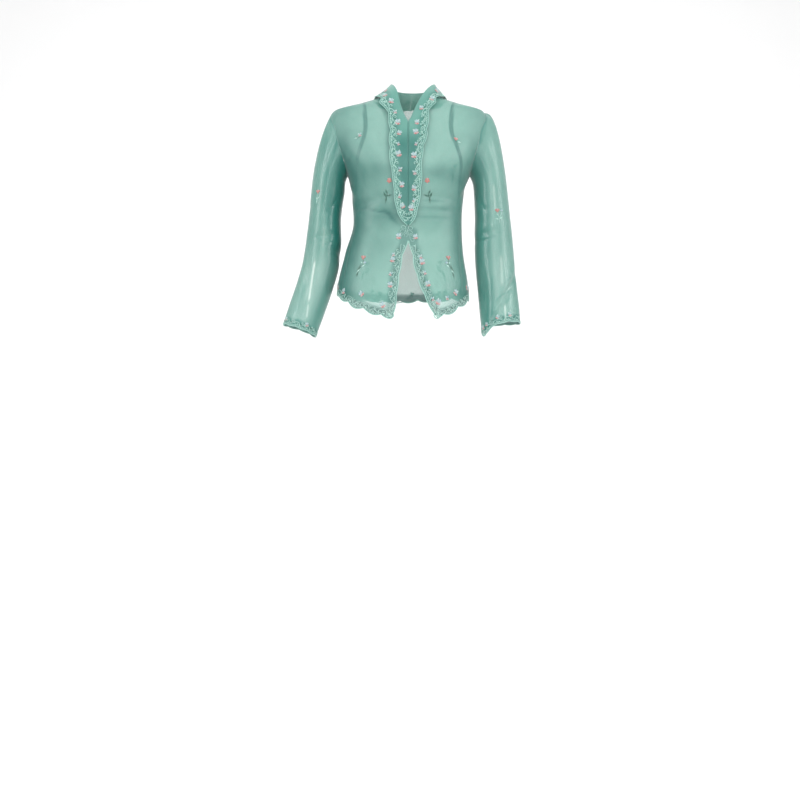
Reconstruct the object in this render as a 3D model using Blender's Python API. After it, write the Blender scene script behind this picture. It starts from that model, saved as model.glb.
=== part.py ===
"""A sheer kebaya blouse, worn and hollow: princess-seamed fronts, a back, two long sleeves and a turned collar.

Metres, +Z up. The front faces -Y, the wearer's left is +X. The origin is between the two points
where the shoulder seams meet the neck, which is where the wearer's shoulders carry the garment.
An angle round the body is 0 at the centre front, 90 degrees at the wearer's left side and
180 at the centre back. A side is +1 for the wearer's left and -1 for the wearer's right.
"""

import math

import bmesh
import bpy
import numpy as np

CLOTH = 0.0012
SEAM_GAP = 0.0003
SEAM_TIP = 0.00013
FULLNESS = 0.06
BUST_DEPTH = 0.014
BUST_ANGLE = math.radians(38)
BUST_SPREAD = math.radians(21)
BUST_HEIGHT = -0.168
BUST_REACH = 0.050

NECK_TOP = 0.030
NECK_BASE = -0.007
SHOULDER_TIP = -0.037
UNDERARM = -0.197
OPENING_TOP = -0.383
V_BOTTOM = -0.084

# Level rings of the figure that the blouse is cut for.
# height, half width, front depth, back depth, middle x, middle y
BODY_RINGS = (
    (-0.620, 0.174, 0.120, 0.122, -0.014, 0.000),
    (-0.480, 0.166, 0.113, 0.114, -0.013, 0.000),
    (-0.400, 0.151, 0.104, 0.101, -0.010, 0.000),
    (-0.315, 0.138, 0.094, 0.086, -0.001, 0.000),
    (-0.265, 0.141, 0.099, 0.090, -0.001, 0.000),
    (-0.225, 0.147, 0.106, 0.097, 0.000, 0.000),
    (-0.195, 0.157, 0.110, 0.102, 0.002, 0.000),
    (-0.150, 0.181, 0.105, 0.106, 0.001, 0.000),
    (-0.110, 0.201, 0.094, 0.104, 0.000, 0.000),
    (-0.064, 0.206, 0.079, 0.093, 0.000, 0.000),
    (-0.037, 0.192, 0.067, 0.080, 0.001, -0.001),
    (-0.022, 0.134, 0.062, 0.073, 0.003, -0.002),
    (-0.007, 0.086, 0.057, 0.066, 0.006, -0.004),
    (0.030, 0.055, 0.047, 0.055, 0.012, -0.009),
    (0.060, 0.050, 0.044, 0.052, 0.013, -0.010),
)

# Where the seam over the bust runs, seen from the front.
# height, distance from the body's middle
PRINCESS_SEAM = (
    (-0.620, 0.150),
    (-0.480, 0.143),
    (-0.400, 0.131),
    (-0.315, 0.122),
    (-0.260, 0.121),
    (-0.200, 0.116),
    (-0.150, 0.106),
    (-0.100, 0.100),
    (-0.050, 0.103),
    (-0.0145, 0.110),
)

# The neckline, where the collar folds over, seen from the front.
# height, distance from the body's middle
NECKLINE = (
    (-0.084, 0.0000),
    (-0.070, 0.0075),
    (-0.035, 0.0200),
    (0.002, 0.0338),
    (0.018, 0.0430),
    (0.030, 0.0550),
)

# The two front edges, which part below the waist. The hem swings away on the wearer's left.
# height, x on the wearer's right, x on the wearer's left
FRONT_EDGES = (
    (-0.600, -0.042, 0.074),
    (-0.568, -0.036, 0.062),
    (-0.539, -0.030, 0.048),
    (-0.505, -0.026, 0.033),
    (-0.479, -0.023, 0.024),
    (-0.446, -0.018, 0.014),
    (-0.415, -0.012, 0.009),
    (-0.383, 0.000, 0.000),
)

# The hem, long at the front corners and short at the side seams.
# angle from the centre front in degrees, height on the wearer's right, height on the wearer's left
HEM_LINE = (
    (0, -0.573, -0.572),
    (12, -0.571, -0.573),
    (24, -0.561, -0.574),
    (32, -0.551, -0.567),
    (43, -0.541, -0.555),
    (52, -0.528, -0.541),
    (66, -0.515, -0.528),
    (80, -0.504, -0.517),
    (90, -0.502, -0.509),
    (135, -0.505, -0.506),
    (180, -0.509, -0.509),
)

# Outer edge of the turned collar and lapel, from the lapel's point to the centre back.
# angle in degrees on the wearer's right, the same on the wearer's left, height
LAPEL_EDGE = (
    (1.0, 1.6, -0.343),
    (7.6, 6.6, -0.325),
    (12.0, 9.4, -0.303),
    (14.2, 12.0, -0.268),
    (14.8, 12.9, -0.225),
    (15.7, 11.6, -0.186),
    (14.8, 12.4, -0.150),
    (13.4, 13.6, -0.114),
    (13.4, 14.0, -0.082),
    (15.6, 15.0, -0.055),
    (24.0, 22.0, -0.031),
    (46.0, 44.0, -0.015),
    (90.0, 90.0, -0.010),
    (130.0, 130.0, -0.012),
    (179.8, 179.8, -0.014),
)

# Inner edge of the same band, on the fold. The rows match those of LAPEL_EDGE. Below the top of
# the neck it follows the front's own edge, so the angles count from there on.
# angle in degrees, height
LAPEL_FOLD = (
    (0.0, -0.338),
    (0.0, -0.318),
    (0.0, -0.296),
    (0.0, -0.265),
    (0.0, -0.222),
    (0.0, -0.184),
    (0.0, -0.146),
    (0.0, -0.112),
    (0.0, -0.084),
    (6.0, -0.042),
    (18.0, -0.012),
    (42.0, 0.014),
    (90.0, 0.030),
    (130.0, 0.030),
    (179.8, 0.030),
)

# Soft troughs where the worn cloth gives.
# angle in degrees (wearer's left is plus), height, half length, half width, depth, tilt in degrees
BODY_FOLDS = (
    (32, -0.270, 0.060, 0.009, 0.0030, -2),
    (36, -0.302, 0.075, 0.011, 0.0036, 4),
    (-48, -0.282, 0.060, 0.010, 0.0034, 9),
    (-20, -0.312, 0.045, 0.012, 0.0030, 30),
    (78, -0.245, 0.045, 0.010, 0.0030, 24),
    (-80, -0.252, 0.045, 0.010, 0.0030, -22),
    (140, -0.285, 0.080, 0.011, 0.0034, -5),
    (-145, -0.270, 0.075, 0.010, 0.0030, 6),
    (176, -0.315, 0.085, 0.012, 0.0036, 2),
    (118, -0.430, 0.060, 0.012, 0.0030, 78),
    (-122, -0.440, 0.060, 0.012, 0.0030, -80),
    (62, -0.440, 0.060, 0.012, 0.0030, 82),
    (-64, -0.430, 0.060, 0.012, 0.0030, -82),
)

# Armholes: a level egg seen from the side, wider below.
ARMHOLE_MIDDLE = (SHOULDER_TIP + UNDERARM) / 2
ARMHOLE_RISE = (SHOULDER_TIP - UNDERARM) / 2
ARMHOLE_WIDTH = 0.052
ARMHOLE_EGG = 0.22

# Sleeve sections from the bicep to the cuff, square to the arm.
# x, y, height, width seen from the front, depth
RIGHT_ARM = (
    (-0.2040, 0.002, -0.236, 0.085, 0.104),
    (-0.2115, 0.004, -0.300, 0.082, 0.100),
    (-0.2145, 0.003, -0.360, 0.090, 0.099),
    (-0.2210, -0.002, -0.418, 0.093, 0.096),
    (-0.2350, -0.012, -0.475, 0.092, 0.091),
    (-0.2545, -0.026, -0.538, 0.091, 0.085),
    (-0.2725, -0.039, -0.594, 0.088, 0.080),
)
LEFT_ARM = (
    (0.2105, 0.002, -0.236, 0.086, 0.104),
    (0.2155, 0.004, -0.300, 0.090, 0.101),
    (0.2180, 0.003, -0.356, 0.097, 0.099),
    (0.2215, -0.002, -0.424, 0.100, 0.096),
    (0.2270, -0.010, -0.492, 0.100, 0.092),
    (0.2310, -0.018, -0.540, 0.101, 0.089),
    (0.2340, -0.025, -0.584, 0.099, 0.088),
)

# How the sleeve leaves the armhole, at the shoulder and under the arm. The pull is a share of the
# way to the bicep. The left sleeve's head stands out in a slight puff.
# side: outward at the top, upward at the top, pull at the top, then the same under the arm
SLEEVE_START = {
    -1: (0.50, -0.87, 0.30, 0.46, -0.89, 0.40),
    1: (0.98, 0.16, 0.16, 0.46, -0.89, 0.40),
}
CAP_END_PULL = 0.34

# Creases and folds in the sleeves.
# angle round the sleeve in degrees, distance below the bicep, half length, half width, depth, tilt
RIGHT_SLEEVE_FOLDS = (
    (95, 0.125, 0.035, 0.012, 0.0034, -16),
    (160, 0.155, 0.030, 0.014, 0.0042, 10),
    (245, 0.120, 0.035, 0.013, 0.0034, 14),
    (60, 0.240, 0.060, 0.012, 0.0030, 78),
    (285, 0.250, 0.055, 0.012, 0.0030, -76),
    (330, 0.060, 0.035, 0.011, 0.0026, -24),
)
LEFT_SLEEVE_FOLDS = (
    (120, 0.115, 0.035, 0.012, 0.0036, 6),
    (40, 0.245, 0.040, 0.010, 0.0034, 48),
    (75, 0.285, 0.045, 0.010, 0.0034, 50),
    (235, 0.115, 0.035, 0.012, 0.0034, -12),
    (140, 0.275, 0.060, 0.012, 0.0036, 84),
    (300, 0.260, 0.055, 0.012, 0.0030, -78),
)

# How far the cuff reaches past the last section.
# angle round the sleeve in degrees, extra length
RIGHT_CUFF = ((0, 0.000), (90, 0.005), (180, 0.004), (270, -0.011), (360, 0.000))
LEFT_CUFF = ((0, -0.004), (60, -0.003), (115, 0.005), (155, 0.025), (185, 0.015), (270, -0.014), (360, -0.004))

# Scalloped edges: a lobe's length, how deep its notches are, and the plain inset behind them.
HEM_LOBE = 0.048
HEM_NOTCH = 0.0075
FRONT_EDGE_NOTCH = 0.0025
LAPEL_LOBE = 0.050
LAPEL_NOTCH = 0.0045
LOW_LAPEL_NOTCH = 0.0015
CUFF_LOBE = 0.030
CUFF_NOTCH = 0.0022
EDGE_INSET = 0.011
POINTS_PER_LOBE = 6

# The turned band clears the front by this much at the fold, and lifts towards its outer edge.
# Round the neck it bridges the hollow where the neck meets the shoulder.
LAPEL_CLEARANCE = 0.0006
LAPEL_LIFT = 0.0014
COLLAR_LIFT = 0.0040
COLLAR_ROLL = 0.0030
COLLAR_FROM = -0.110
COLLAR_FULL = -0.030

# Mesh rows and columns.
SKIRT_ROWS = 8
WAIST_ROWS = 15
ARMHOLE_STEPS = 10
SHOULDER_ROWS = 6
NECK_ROWS = 4
CENTRE_COLUMNS = 8
SIDE_COLUMNS = 4
BACK_COLUMNS = 14
LAPEL_SHARES = (0.0, 0.25, 0.5, 0.76)
LAPEL_STEPS = 42
CAP_ROWS = 6
ARM_ROWS = 16

# colour, roughness
BODY_CLOTH = ((0.16, 0.50, 0.42, 1.0), 0.45)
SLEEVE_CLOTH = ((0.18, 0.53, 0.45, 1.0), 0.42)
COLLAR_CLOTH = ((0.11, 0.41, 0.35, 1.0), 0.48)


def read_table(table, at):
    """Reads a table between its rows along a smooth curve that never overshoots. The first column is the key."""
    rows = np.array(table, float)
    key, values = rows[:, 0], rows[:, 1:]
    at = np.atleast_1d(np.asarray(at, float))
    slope = np.diff(values, axis=0) / np.diff(key)[:, None]
    product = slope[1:] * slope[:-1]
    mean = np.where(product > 0, 2 * product / (slope[1:] + slope[:-1] + 1e-12), 0.0)
    tangent = np.vstack([slope[:1], mean, slope[-1:]])
    i = np.clip(np.searchsorted(key, at, side="right") - 1, 0, len(key) - 2)
    width = (key[i + 1] - key[i])[:, None]
    s = np.clip((at - key[i]) / width[:, 0], 0, 1)[:, None]
    start = (1 + 2 * s) * (1 - s) ** 2 * values[i] + s * (1 - s) ** 2 * width * tangent[i]
    end = s * s * (3 - 2 * s) * values[i + 1] + s * s * (s - 1) * width * tangent[i + 1]
    return start + end


def unit(vectors):
    return vectors / np.maximum(np.linalg.norm(vectors, axis=-1, keepdims=True), 1e-12)


def fold_relief(folds, across, along, radius):
    """How far the cloth sinks at each point. across is an angle in radians and along a height or a distance."""
    sunk = np.zeros_like(across)
    for angle, place, half_length, half_width, depth, tilt in folds:
        turn = (across - math.radians(angle) + math.pi) % (2 * math.pi) - math.pi
        sideways, up = turn * radius, along - place
        lean = math.radians(tilt)
        u = sideways * math.cos(lean) + up * math.sin(lean)
        v = up * math.cos(lean) - sideways * math.sin(lean)
        sunk += depth * np.exp(-((u / half_length) ** 2) - (v / half_width) ** 2)
    return sunk


def body_point(angle, height):
    """Points on the outer face of the body cloth."""
    half, front, back, middle_x, middle_y = read_table(BODY_RINGS, height).T
    square = 1 + FULLNESS * np.sin(2 * angle) ** 2
    depth = np.where(np.cos(angle) > 0, front, back)
    bust = np.exp(-(((np.abs(angle) - BUST_ANGLE) / BUST_SPREAD) ** 2))
    swell = BUST_DEPTH * bust * np.exp(-(((height - BUST_HEIGHT) / BUST_REACH) ** 2))
    swell -= fold_relief(BODY_FOLDS, angle, height, half)
    x = middle_x + (half * square + swell) * np.sin(angle)
    y = middle_y - (depth * square + swell) * np.cos(angle)
    return np.stack([x, y, height], axis=-1)


def body_normal(angle, height):
    """Outward directions there."""
    small = 1e-4
    round_it = body_point(angle + small, height) - body_point(angle - small, height)
    up = body_point(angle, height + small) - body_point(angle, height - small)
    return unit(np.cross(round_it, up))


def angle_at(x_from_middle, height):
    """The angle of a front point at that distance from the body's middle."""
    half = read_table(BODY_RINGS, height)[:, 0]
    return np.arcsin(np.clip(x_from_middle / half, -1, 1))


def princess_angle(height):
    reached = angle_at(read_table(PRINCESS_SEAM, height)[:, 0], height)
    return np.where(height >= PRINCESS_SEAM[-1][0], math.pi / 2, reached)


def front_edge_angle(side, height):
    """The inner edge of a front panel: the parted edge, the closed centre, then the neckline."""
    middle_x = read_table(BODY_RINGS, height)[:, 3]
    edge_x = read_table(FRONT_EDGES, height)[:, 0 if side < 0 else 1]
    parted = angle_at(side * (edge_x - middle_x), height)
    neck = angle_at(read_table(NECKLINE, height)[:, 0], height)
    neck = np.where(height >= NECK_TOP, math.pi / 2, neck)
    return np.where(height > V_BOTTOM, neck, parted)


def armhole_angle(height, is_back):
    """The angle where the armhole cuts the body at that height."""
    turn = np.arccos(np.clip((height - ARMHOLE_MIDDLE) / ARMHOLE_RISE, -1, 1))
    rings = read_table(BODY_RINGS, height)
    depth = rings[:, 2] if is_back else rings[:, 1]
    cut = np.arccos(np.clip(armhole_half_width(turn) / depth, -1, 1))
    return math.pi - cut if is_back else cut


def armhole_half_width(turn):
    return ARMHOLE_WIDTH * np.sin(turn) * (1 - ARMHOLE_EGG * np.cos(turn))


def armhole_point(side, turn):
    """The armhole's edge. turn is 0 at the shoulder, 90 degrees at the front and 180 under the arm."""
    height = ARMHOLE_MIDDLE + ARMHOLE_RISE * np.cos(turn)
    folded = np.where(turn > math.pi, 2 * math.pi - turn, turn)
    rings = read_table(BODY_RINGS, height)
    depth = np.where(turn > math.pi, rings[:, 2], rings[:, 1])
    cut = np.arccos(np.clip(armhole_half_width(folded) / depth, -1, 1))
    angle = side * np.where(turn > math.pi, math.pi - cut, cut)
    return body_point(angle, height), body_normal(angle, height)


def sleeve_start(side, turn):
    """The direction in which the sleeve leaves the armhole, and its pull."""
    share = ((1 + np.cos(turn)) / 2)[:, None]
    rows = np.array(SLEEVE_START[side])
    mixed = share * rows[:3] + (1 - share) * rows[3:]
    outward = np.stack([side * mixed[:, 0], np.zeros(len(turn)), mixed[:, 1]], axis=-1)
    return unit(outward), mixed[:, 2:]


def armhole_seam(side, turn):
    """Edge points, outward directions of the body and of the sleeve there, and the way across the seam.

    Where the seam is a ridge both pieces share one direction, so that their walls meet in a mitre.
    """
    small = 1e-3
    points, body_out = armhole_point(side, turn)
    ahead = armhole_point(side, (turn + small) % (2 * math.pi))[0]
    behind = armhole_point(side, (turn - small) % (2 * math.pi))[0]
    leaving = sleeve_start(side, turn)[0]
    sleeve_out = unit(side * np.cross(ahead - behind, leaving))
    shared = unit(body_out + sleeve_out)
    ridge = (leaving * body_out).sum(1, keepdims=True) < 0
    body_out = np.where(ridge, shared, body_out)
    sleeve_out = np.where(ridge, shared, sleeve_out)
    across = unit(leaving - (leaving * sleeve_out).sum(1, keepdims=True) * sleeve_out)
    return points, body_out, sleeve_out, across


class Cloth:
    """Outer points and outward directions of one piece of cloth, with its faces."""

    def __init__(self):
        self.points = []
        self.outward = []
        self.faces = []

    def add_row(self, points, outward):
        start = len(self.points)
        self.points += [np.array(p, float) for p in points]
        self.outward += [np.array(n, float) for n in outward]
        return list(range(start, len(self.points)))

    def join(self, first, second):
        """Fills the strip between two rows with triangles, across the shorter diagonal."""
        i = j = 0
        if first[0] == second[0]:
            self.faces.append((first[0], first[1], second[1]))
            i = j = 1
        while i < len(first) - 1 or j < len(second) - 1:
            on_first = j == len(second) - 1
            if not on_first and i < len(first) - 1:
                here = self.points[first[i + 1]] - self.points[second[j]]
                there = self.points[first[i]] - self.points[second[j + 1]]
                on_first = here @ here <= there @ there
            if on_first:
                self.faces.append((first[i], first[i + 1], second[j]))
                i += 1
            else:
                self.faces.append((first[i], second[j + 1], second[j]))
                j += 1

    def join_ring(self, first, second):
        self.join(first + first[:1], second + second[:1])

    def use_face_normals(self, keep):
        """Takes the outward directions from the faces, apart from the points in keep."""
        points = np.array(self.points)
        faces = np.array(self.faces)
        corners = points[faces]
        cross = np.cross(corners[:, 1] - corners[:, 0], corners[:, 2] - corners[:, 0])
        total = np.zeros_like(points)
        for corner in range(3):
            np.add.at(total, faces[:, corner], cross)
        total = unit(total)
        for i in set(range(len(points))) - set(keep):
            self.outward[i] = total[i] if total[i] @ self.outward[i] > 0 else -total[i]


def wall(name, cloth, look, collection):
    """A closed wall of cloth: the outer face, an inner face one thickness in, and a rim round every edge."""
    count = len(cloth.points)
    outer = np.array(cloth.points)
    inner = outer - np.array(cloth.outward) * CLOTH
    uses = {}
    for face in cloth.faces:
        for a, b in zip(face, face[1:] + face[:1]):
            uses.setdefault(frozenset((a, b)), []).append((a, b))
    faces = list(cloth.faces)
    faces += [tuple(i + count for i in reversed(face)) for face in cloth.faces]
    for a, b in (edges[0] for edges in uses.values() if len(edges) == 1):
        faces += [(b, a, a + count), (b, a + count, b + count)]
    mesh = bpy.data.meshes.new(name)
    mesh.from_pydata(np.vstack([outer, inner]).tolist(), [], faces)
    shell = bmesh.new()
    shell.from_mesh(mesh)
    bmesh.ops.recalc_face_normals(shell, faces=shell.faces)
    shell.to_mesh(mesh)
    shell.free()
    mesh.shade_smooth()
    mesh.set_sharp_from_angle(angle=math.radians(50))
    piece = bpy.data.objects.new(name, mesh)
    piece.data.materials.append(cloth_material(name, *look))
    collection.objects.link(piece)
    return piece


def cloth_material(name, colour, roughness):
    material = bpy.data.materials.new(name + "_voile")
    material.use_nodes = True
    shader = material.node_tree.nodes["Principled BSDF"]
    shader.inputs["Base Color"].default_value = colour
    shader.inputs["Roughness"].default_value = roughness
    shader.inputs["Metallic"].default_value = 0.0
    material.diffuse_color = colour
    return material


def scallop(distance, lobe, notch):
    """How far a scalloped edge stays behind its furthest line."""
    return notch * (1 - np.abs(np.sin(math.pi * distance / lobe)) ** 0.75)


def hem_height(side, angle):
    """The hem's furthest line. Angles past the centre back lie on the other side."""
    past = angle > math.pi
    heights = read_table(HEM_LINE, np.degrees(np.where(past, 2 * math.pi - angle, angle)))
    on_left = past if side < 0 else ~past
    return np.where(on_left, heights[:, 1], heights[:, 0])


def hem_distance(side, angle):
    """Distance along the hem from the side seam, to count the lobes with."""
    fine = np.radians(np.linspace(0, 360, 721))
    points = body_point(side * fine, hem_height(side, fine))
    along = np.concatenate([[0], np.cumsum(np.linalg.norm(np.diff(points, axis=0), axis=1))])
    return np.interp(angle, fine, along) - np.interp(math.pi / 2, fine, along)


def hem_line(side, start, end):
    """Angles and heights along the scalloped hem between two angles."""
    first, last = hem_distance(side, np.array([start, end]))
    steps = max(2, round(abs(last - first) / HEM_LOBE * POINTS_PER_LOBE))
    angle = np.linspace(start, end, steps + 1)
    return angle, hem_height(side, angle) + scallop(hem_distance(side, angle), HEM_LOBE, HEM_NOTCH)


def upper_heights():
    """Row heights above the parted skirt: waist, armhole, shoulder, neck."""
    waist = np.linspace(OPENING_TOP, UNDERARM, WAIST_ROWS + 1)[:-1]
    turn = np.linspace(math.pi, 0, ARMHOLE_STEPS + 1)
    armhole = ARMHOLE_MIDDLE + ARMHOLE_RISE * np.cos(turn)
    shoulder = np.linspace(SHOULDER_TIP, NECK_BASE, SHOULDER_ROWS + 1)[1:]
    neck = np.linspace(NECK_BASE, NECK_TOP, NECK_ROWS + 1)[1:]
    return np.concatenate([waist, armhole, shoulder, neck])


def body_row(cloth, side, angle, height):
    return cloth.add_row(body_point(side * angle, height), body_normal(side * angle, height))


def panel(side, columns, inner, outer):
    """A body panel between two edges given as angles at a height. Returns the cloth and its rows of point numbers.

    The panel ends at the neck, or in a point where its two edges meet.
    """
    cloth = Cloth()
    rows = []
    across = np.linspace(0, 1, columns + 1)
    for share in np.linspace(0, 1, SKIRT_ROWS + 1)[:-1]:
        height = np.full(columns + 1, OPENING_TOP)
        for _ in range(8):
            angle = inner(height) + (outer(height) - inner(height)) * across
            bottom = hem_height(side, angle) + EDGE_INSET
            height = (1 - share) * bottom + share * OPENING_TOP
        rows.append(body_row(cloth, side, angle, height))
    for level in upper_heights():
        height = np.full(columns + 1, level)
        angle = inner(height) + (outer(height) - inner(height)) * across
        if angle[-1] - angle[0] < 1e-3:
            rows.append(body_row(cloth, side, angle[-1:], height[-1:] - SEAM_TIP))
            break
        rows.append(body_row(cloth, side, angle, height))
    for lower, upper in zip(rows, rows[1:]):
        cloth.join(lower, upper)
    return cloth, rows


def mitre_armhole(cloth, rows, column, side, is_back):
    """Turns a panel's armhole edge to the direction that it shares with the sleeve."""
    first = SKIRT_ROWS + WAIST_ROWS
    for step in range(ARMHOLE_STEPS + 1):
        turn = math.pi * (1 - step / ARMHOLE_STEPS)
        if is_back:
            turn = 2 * math.pi - turn
        _, body_out, _, _ = armhole_seam(side, np.array([turn % (2 * math.pi)]))
        cloth.outward[rows[first + step][column]] = body_out[0]


def half_gap(height):
    """Half a seam gap, as an angle round the body."""
    return SEAM_GAP / 2 / read_table(BODY_RINGS, height)[:, 1]


def hem_foot(side, edge):
    """The angle at which a seam meets the hem."""
    height = np.array([OPENING_TOP])
    for _ in range(8):
        height = hem_height(side, edge(height))
    return edge(height)[0]


def front_centre(side):
    """The front panel from the centre front to the seam over the bust, up to the neck."""

    def inner(height):
        half = read_table(BODY_RINGS, height)[:, 0]
        inset = EDGE_INSET * np.clip((OPENING_TOP - height) / 0.02, 0, 1)
        return np.minimum(front_edge_angle(side, height) + inset / half + half_gap(height), math.pi / 2)

    def outer(height):
        return princess_angle(height) - half_gap(height)

    def neck_outer(height):
        depth = read_table(BODY_RINGS, height)[:, 1]
        return np.minimum(outer(height), math.pi / 2 - SEAM_GAP / 2 / depth)

    cloth, rows = panel(side, CENTRE_COLUMNS, lambda h: np.minimum(inner(h), neck_outer(h)), neck_outer)
    upright = [row[0] for row in rows[: SKIRT_ROWS + 1]][::-1]
    top = cloth.points[upright[0]][2]
    foot = cloth.points[upright[-1]][2]
    heights = np.linspace(top, foot, 1 + round((top - foot) / HEM_LOBE * POINTS_PER_LOBE))[1:]
    half = read_table(BODY_RINGS, heights)[:, 0]
    notch = scallop(heights - foot, HEM_LOBE, FRONT_EDGE_NOTCH)
    edge_angles = front_edge_angle(side, heights) + half_gap(heights) + notch / half
    corner = inner(np.array([foot]))[0]
    turn = np.linspace(0, math.pi / 2, 5)[1:-1]
    corner_angles = corner - EDGE_INSET * np.cos(turn) / half[-1]
    corner_heights = foot - EDGE_INSET * np.sin(turn)
    hem_angles, hem_heights = hem_line(side, corner, hem_foot(side, outer))
    angles = np.concatenate([edge_angles, corner_angles, hem_angles])
    heights = np.concatenate([heights, corner_heights, hem_heights])
    edge = body_row(cloth, side, angles, heights)
    cloth.join([upright[0]] + edge, upright + rows[0][1:])
    return cloth


def front_side(side):
    """The front panel from the seam over the bust to the side seam and the armhole."""

    def inner(height):
        return princess_angle(height) + half_gap(height)

    def outer(height):
        plain = math.pi / 2 - SEAM_GAP / 2 / read_table(BODY_RINGS, height)[:, 1]
        in_armhole = (height > UNDERARM) & (height < SHOULDER_TIP)
        return np.where(in_armhole, np.minimum(armhole_angle(height, False), plain), plain)

    cloth, rows = panel(side, SIDE_COLUMNS, inner, outer)
    mitre_armhole(cloth, rows, -1, side, False)
    angles, heights = hem_line(side, hem_foot(side, inner), hem_foot(side, outer))
    cloth.join(body_row(cloth, side, angles, heights), rows[0])
    return cloth


def back():
    """The back, in one piece from side seam to side seam and up to the collar's fold."""

    def inner(height):
        plain = math.pi / 2 + SEAM_GAP / 2 / read_table(BODY_RINGS, height)[:, 2]
        in_armhole = (height > UNDERARM) & (height < SHOULDER_TIP)
        return np.where(in_armhole, np.maximum(armhole_angle(height, True), plain), plain)

    def outer(height):
        return 2 * math.pi - inner(height)

    cloth, rows = panel(1, BACK_COLUMNS, inner, outer)
    mitre_armhole(cloth, rows, 0, 1, True)
    mitre_armhole(cloth, rows, -1, -1, True)
    angles, heights = hem_line(1, hem_foot(1, inner), hem_foot(1, outer))
    cloth.join(body_row(cloth, 1, angles, heights), rows[0])
    return cloth


def arm_sections(side):
    """The sleeve's sections with a distance down the arm from the bicep in front of each."""
    rows = np.array(RIGHT_ARM if side < 0 else LEFT_ARM)
    steps = np.linalg.norm(np.diff(rows[:, :3], axis=0), axis=1)
    return np.column_stack([np.concatenate([[0], np.cumsum(steps)]), rows])


def arm_point(side, turn, distance):
    """Points on the sleeve's outer face below the bicep, and the way down the arm there."""
    sections = arm_sections(side)
    middle = read_table(sections, distance)
    inside = np.clip(distance, 0.01, sections[-1, 0] - 0.01)
    down = unit(read_table(sections, inside + 0.01)[:, :3] - read_table(sections, inside - 0.01)[:, :3])
    beyond = np.maximum(distance - sections[-1, 0], 0)[:, None]
    outward = unit(np.cross(down, np.array([0.0, side, 0.0])))
    forward = unit(np.cross(down, outward)) * side
    width, depth = middle[:, 3:4] / 2, middle[:, 4:5] / 2
    folds = RIGHT_SLEEVE_FOLDS if side < 0 else LEFT_SLEEVE_FOLDS
    sunk = fold_relief(folds, turn, distance, width[:, 0])[:, None]
    centre = middle[:, :3] + down * beyond
    ring = outward * (width - sunk) * np.cos(turn)[:, None] + forward * (depth - sunk) * np.sin(turn)[:, None]
    return centre + ring, down


def sleeve(side):
    """A set-in sleeve: a cap that grows from the armhole, a tube down the arm and a scalloped cuff."""
    cloth = Cloth()
    turn = np.linspace(0, 2 * math.pi, 2 * ARMHOLE_STEPS + 1)[:-1]
    armhole, _, sleeve_out, across = armhole_seam(side, turn)
    leaving, pull = sleeve_start(side, turn)
    start = armhole + across * SEAM_GAP
    end, down = arm_point(side, turn, np.zeros(len(turn)))
    reach = np.linalg.norm(end - start, axis=1, keepdims=True)
    near_start = start + leaving * pull * reach
    near_end = end - down * CAP_END_PULL * reach
    rows = [cloth.add_row(start, sleeve_out)]
    for share in np.linspace(0, 1, CAP_ROWS + 1)[1:]:
        rest = 1 - share
        ring = rest**3 * start + 3 * rest**2 * share * near_start + 3 * rest * share**2 * near_end + share**3 * end
        rows.append(cloth.add_row(ring, unit(ring - ring.mean(axis=0))))
    length = arm_sections(side)[-1, 0]
    table = RIGHT_CUFF if side < 0 else LEFT_CUFF
    reach = read_table(table, np.degrees(turn))[:, 0]
    for share in np.linspace(0, 1, ARM_ROWS + 1)[1:]:
        ring, _ = arm_point(side, turn, share * (length - EDGE_INSET + reach * share**2))
        rows.append(cloth.add_row(ring, unit(ring - ring.mean(axis=0))))
    radius = (arm_sections(side)[-1, 4] + arm_sections(side)[-1, 5]) / 4
    lobes = round(2 * math.pi * radius / CUFF_LOBE)
    turn = np.linspace(0, 2 * math.pi, lobes * POINTS_PER_LOBE + 1)[:-1]
    notch = scallop(turn * radius, 2 * math.pi * radius / lobes, CUFF_NOTCH)
    ring, _ = arm_point(side, turn, length + read_table(table, np.degrees(turn))[:, 0] - notch)
    rows.append(cloth.add_row(ring, unit(ring - ring.mean(axis=0))))
    for upper, lower in zip(rows, rows[1:]):
        cloth.join_ring(upper, lower)
    cloth.use_face_normals(keep=rows[0])
    return cloth


def smooth_step(value, start, end):
    share = np.clip((value - start) / (end - start), 0, 1)
    return share * share * (3 - 2 * share)


def numbered(table):
    return [(number, *row) for number, row in enumerate(table)]


def lapel_lines(side, step):
    """Angle and height on the fold and on the outer line of the turned band, at steps along its tables."""
    fold = read_table(numbered(LAPEL_FOLD), step)
    fold_angle = np.radians(fold[:, 0])
    on_front = fold[:, 1] < NECK_TOP - 1e-6
    follows = front_edge_angle(side, fold[:, 1]) + half_gap(fold[:, 1])
    fold_angle = np.where(on_front, np.minimum(follows, math.pi / 2), fold_angle)
    edge = read_table(numbered(LAPEL_EDGE), step)
    edge_angle = np.radians(edge[:, 0 if side < 0 else 1])
    centre = follows * (edge[:, 2] < V_BOTTOM)
    return np.stack([fold_angle, fold[:, 1]]), np.stack([edge_angle + centre, edge[:, 2]])


def lapel_point(side, step, share):
    """Points and outward directions on the turned band. share is 0 on the fold and 1 on the outer line."""
    fold, edge = lapel_lines(side, step)
    angle, height = fold + (edge - fold) * share
    collar = smooth_step(edge[1], COLLAR_FROM, COLLAR_FULL)
    lift = share**2 * (LAPEL_LIFT + (COLLAR_LIFT - LAPEL_LIFT) * collar)
    lift += COLLAR_ROLL * collar * 4 * share * (1 - share)
    outward = body_normal(side * angle, height)
    clear = (LAPEL_CLEARANCE + CLOTH + lift)[:, None]
    return body_point(side * angle, height) + outward * clear, outward


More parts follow.
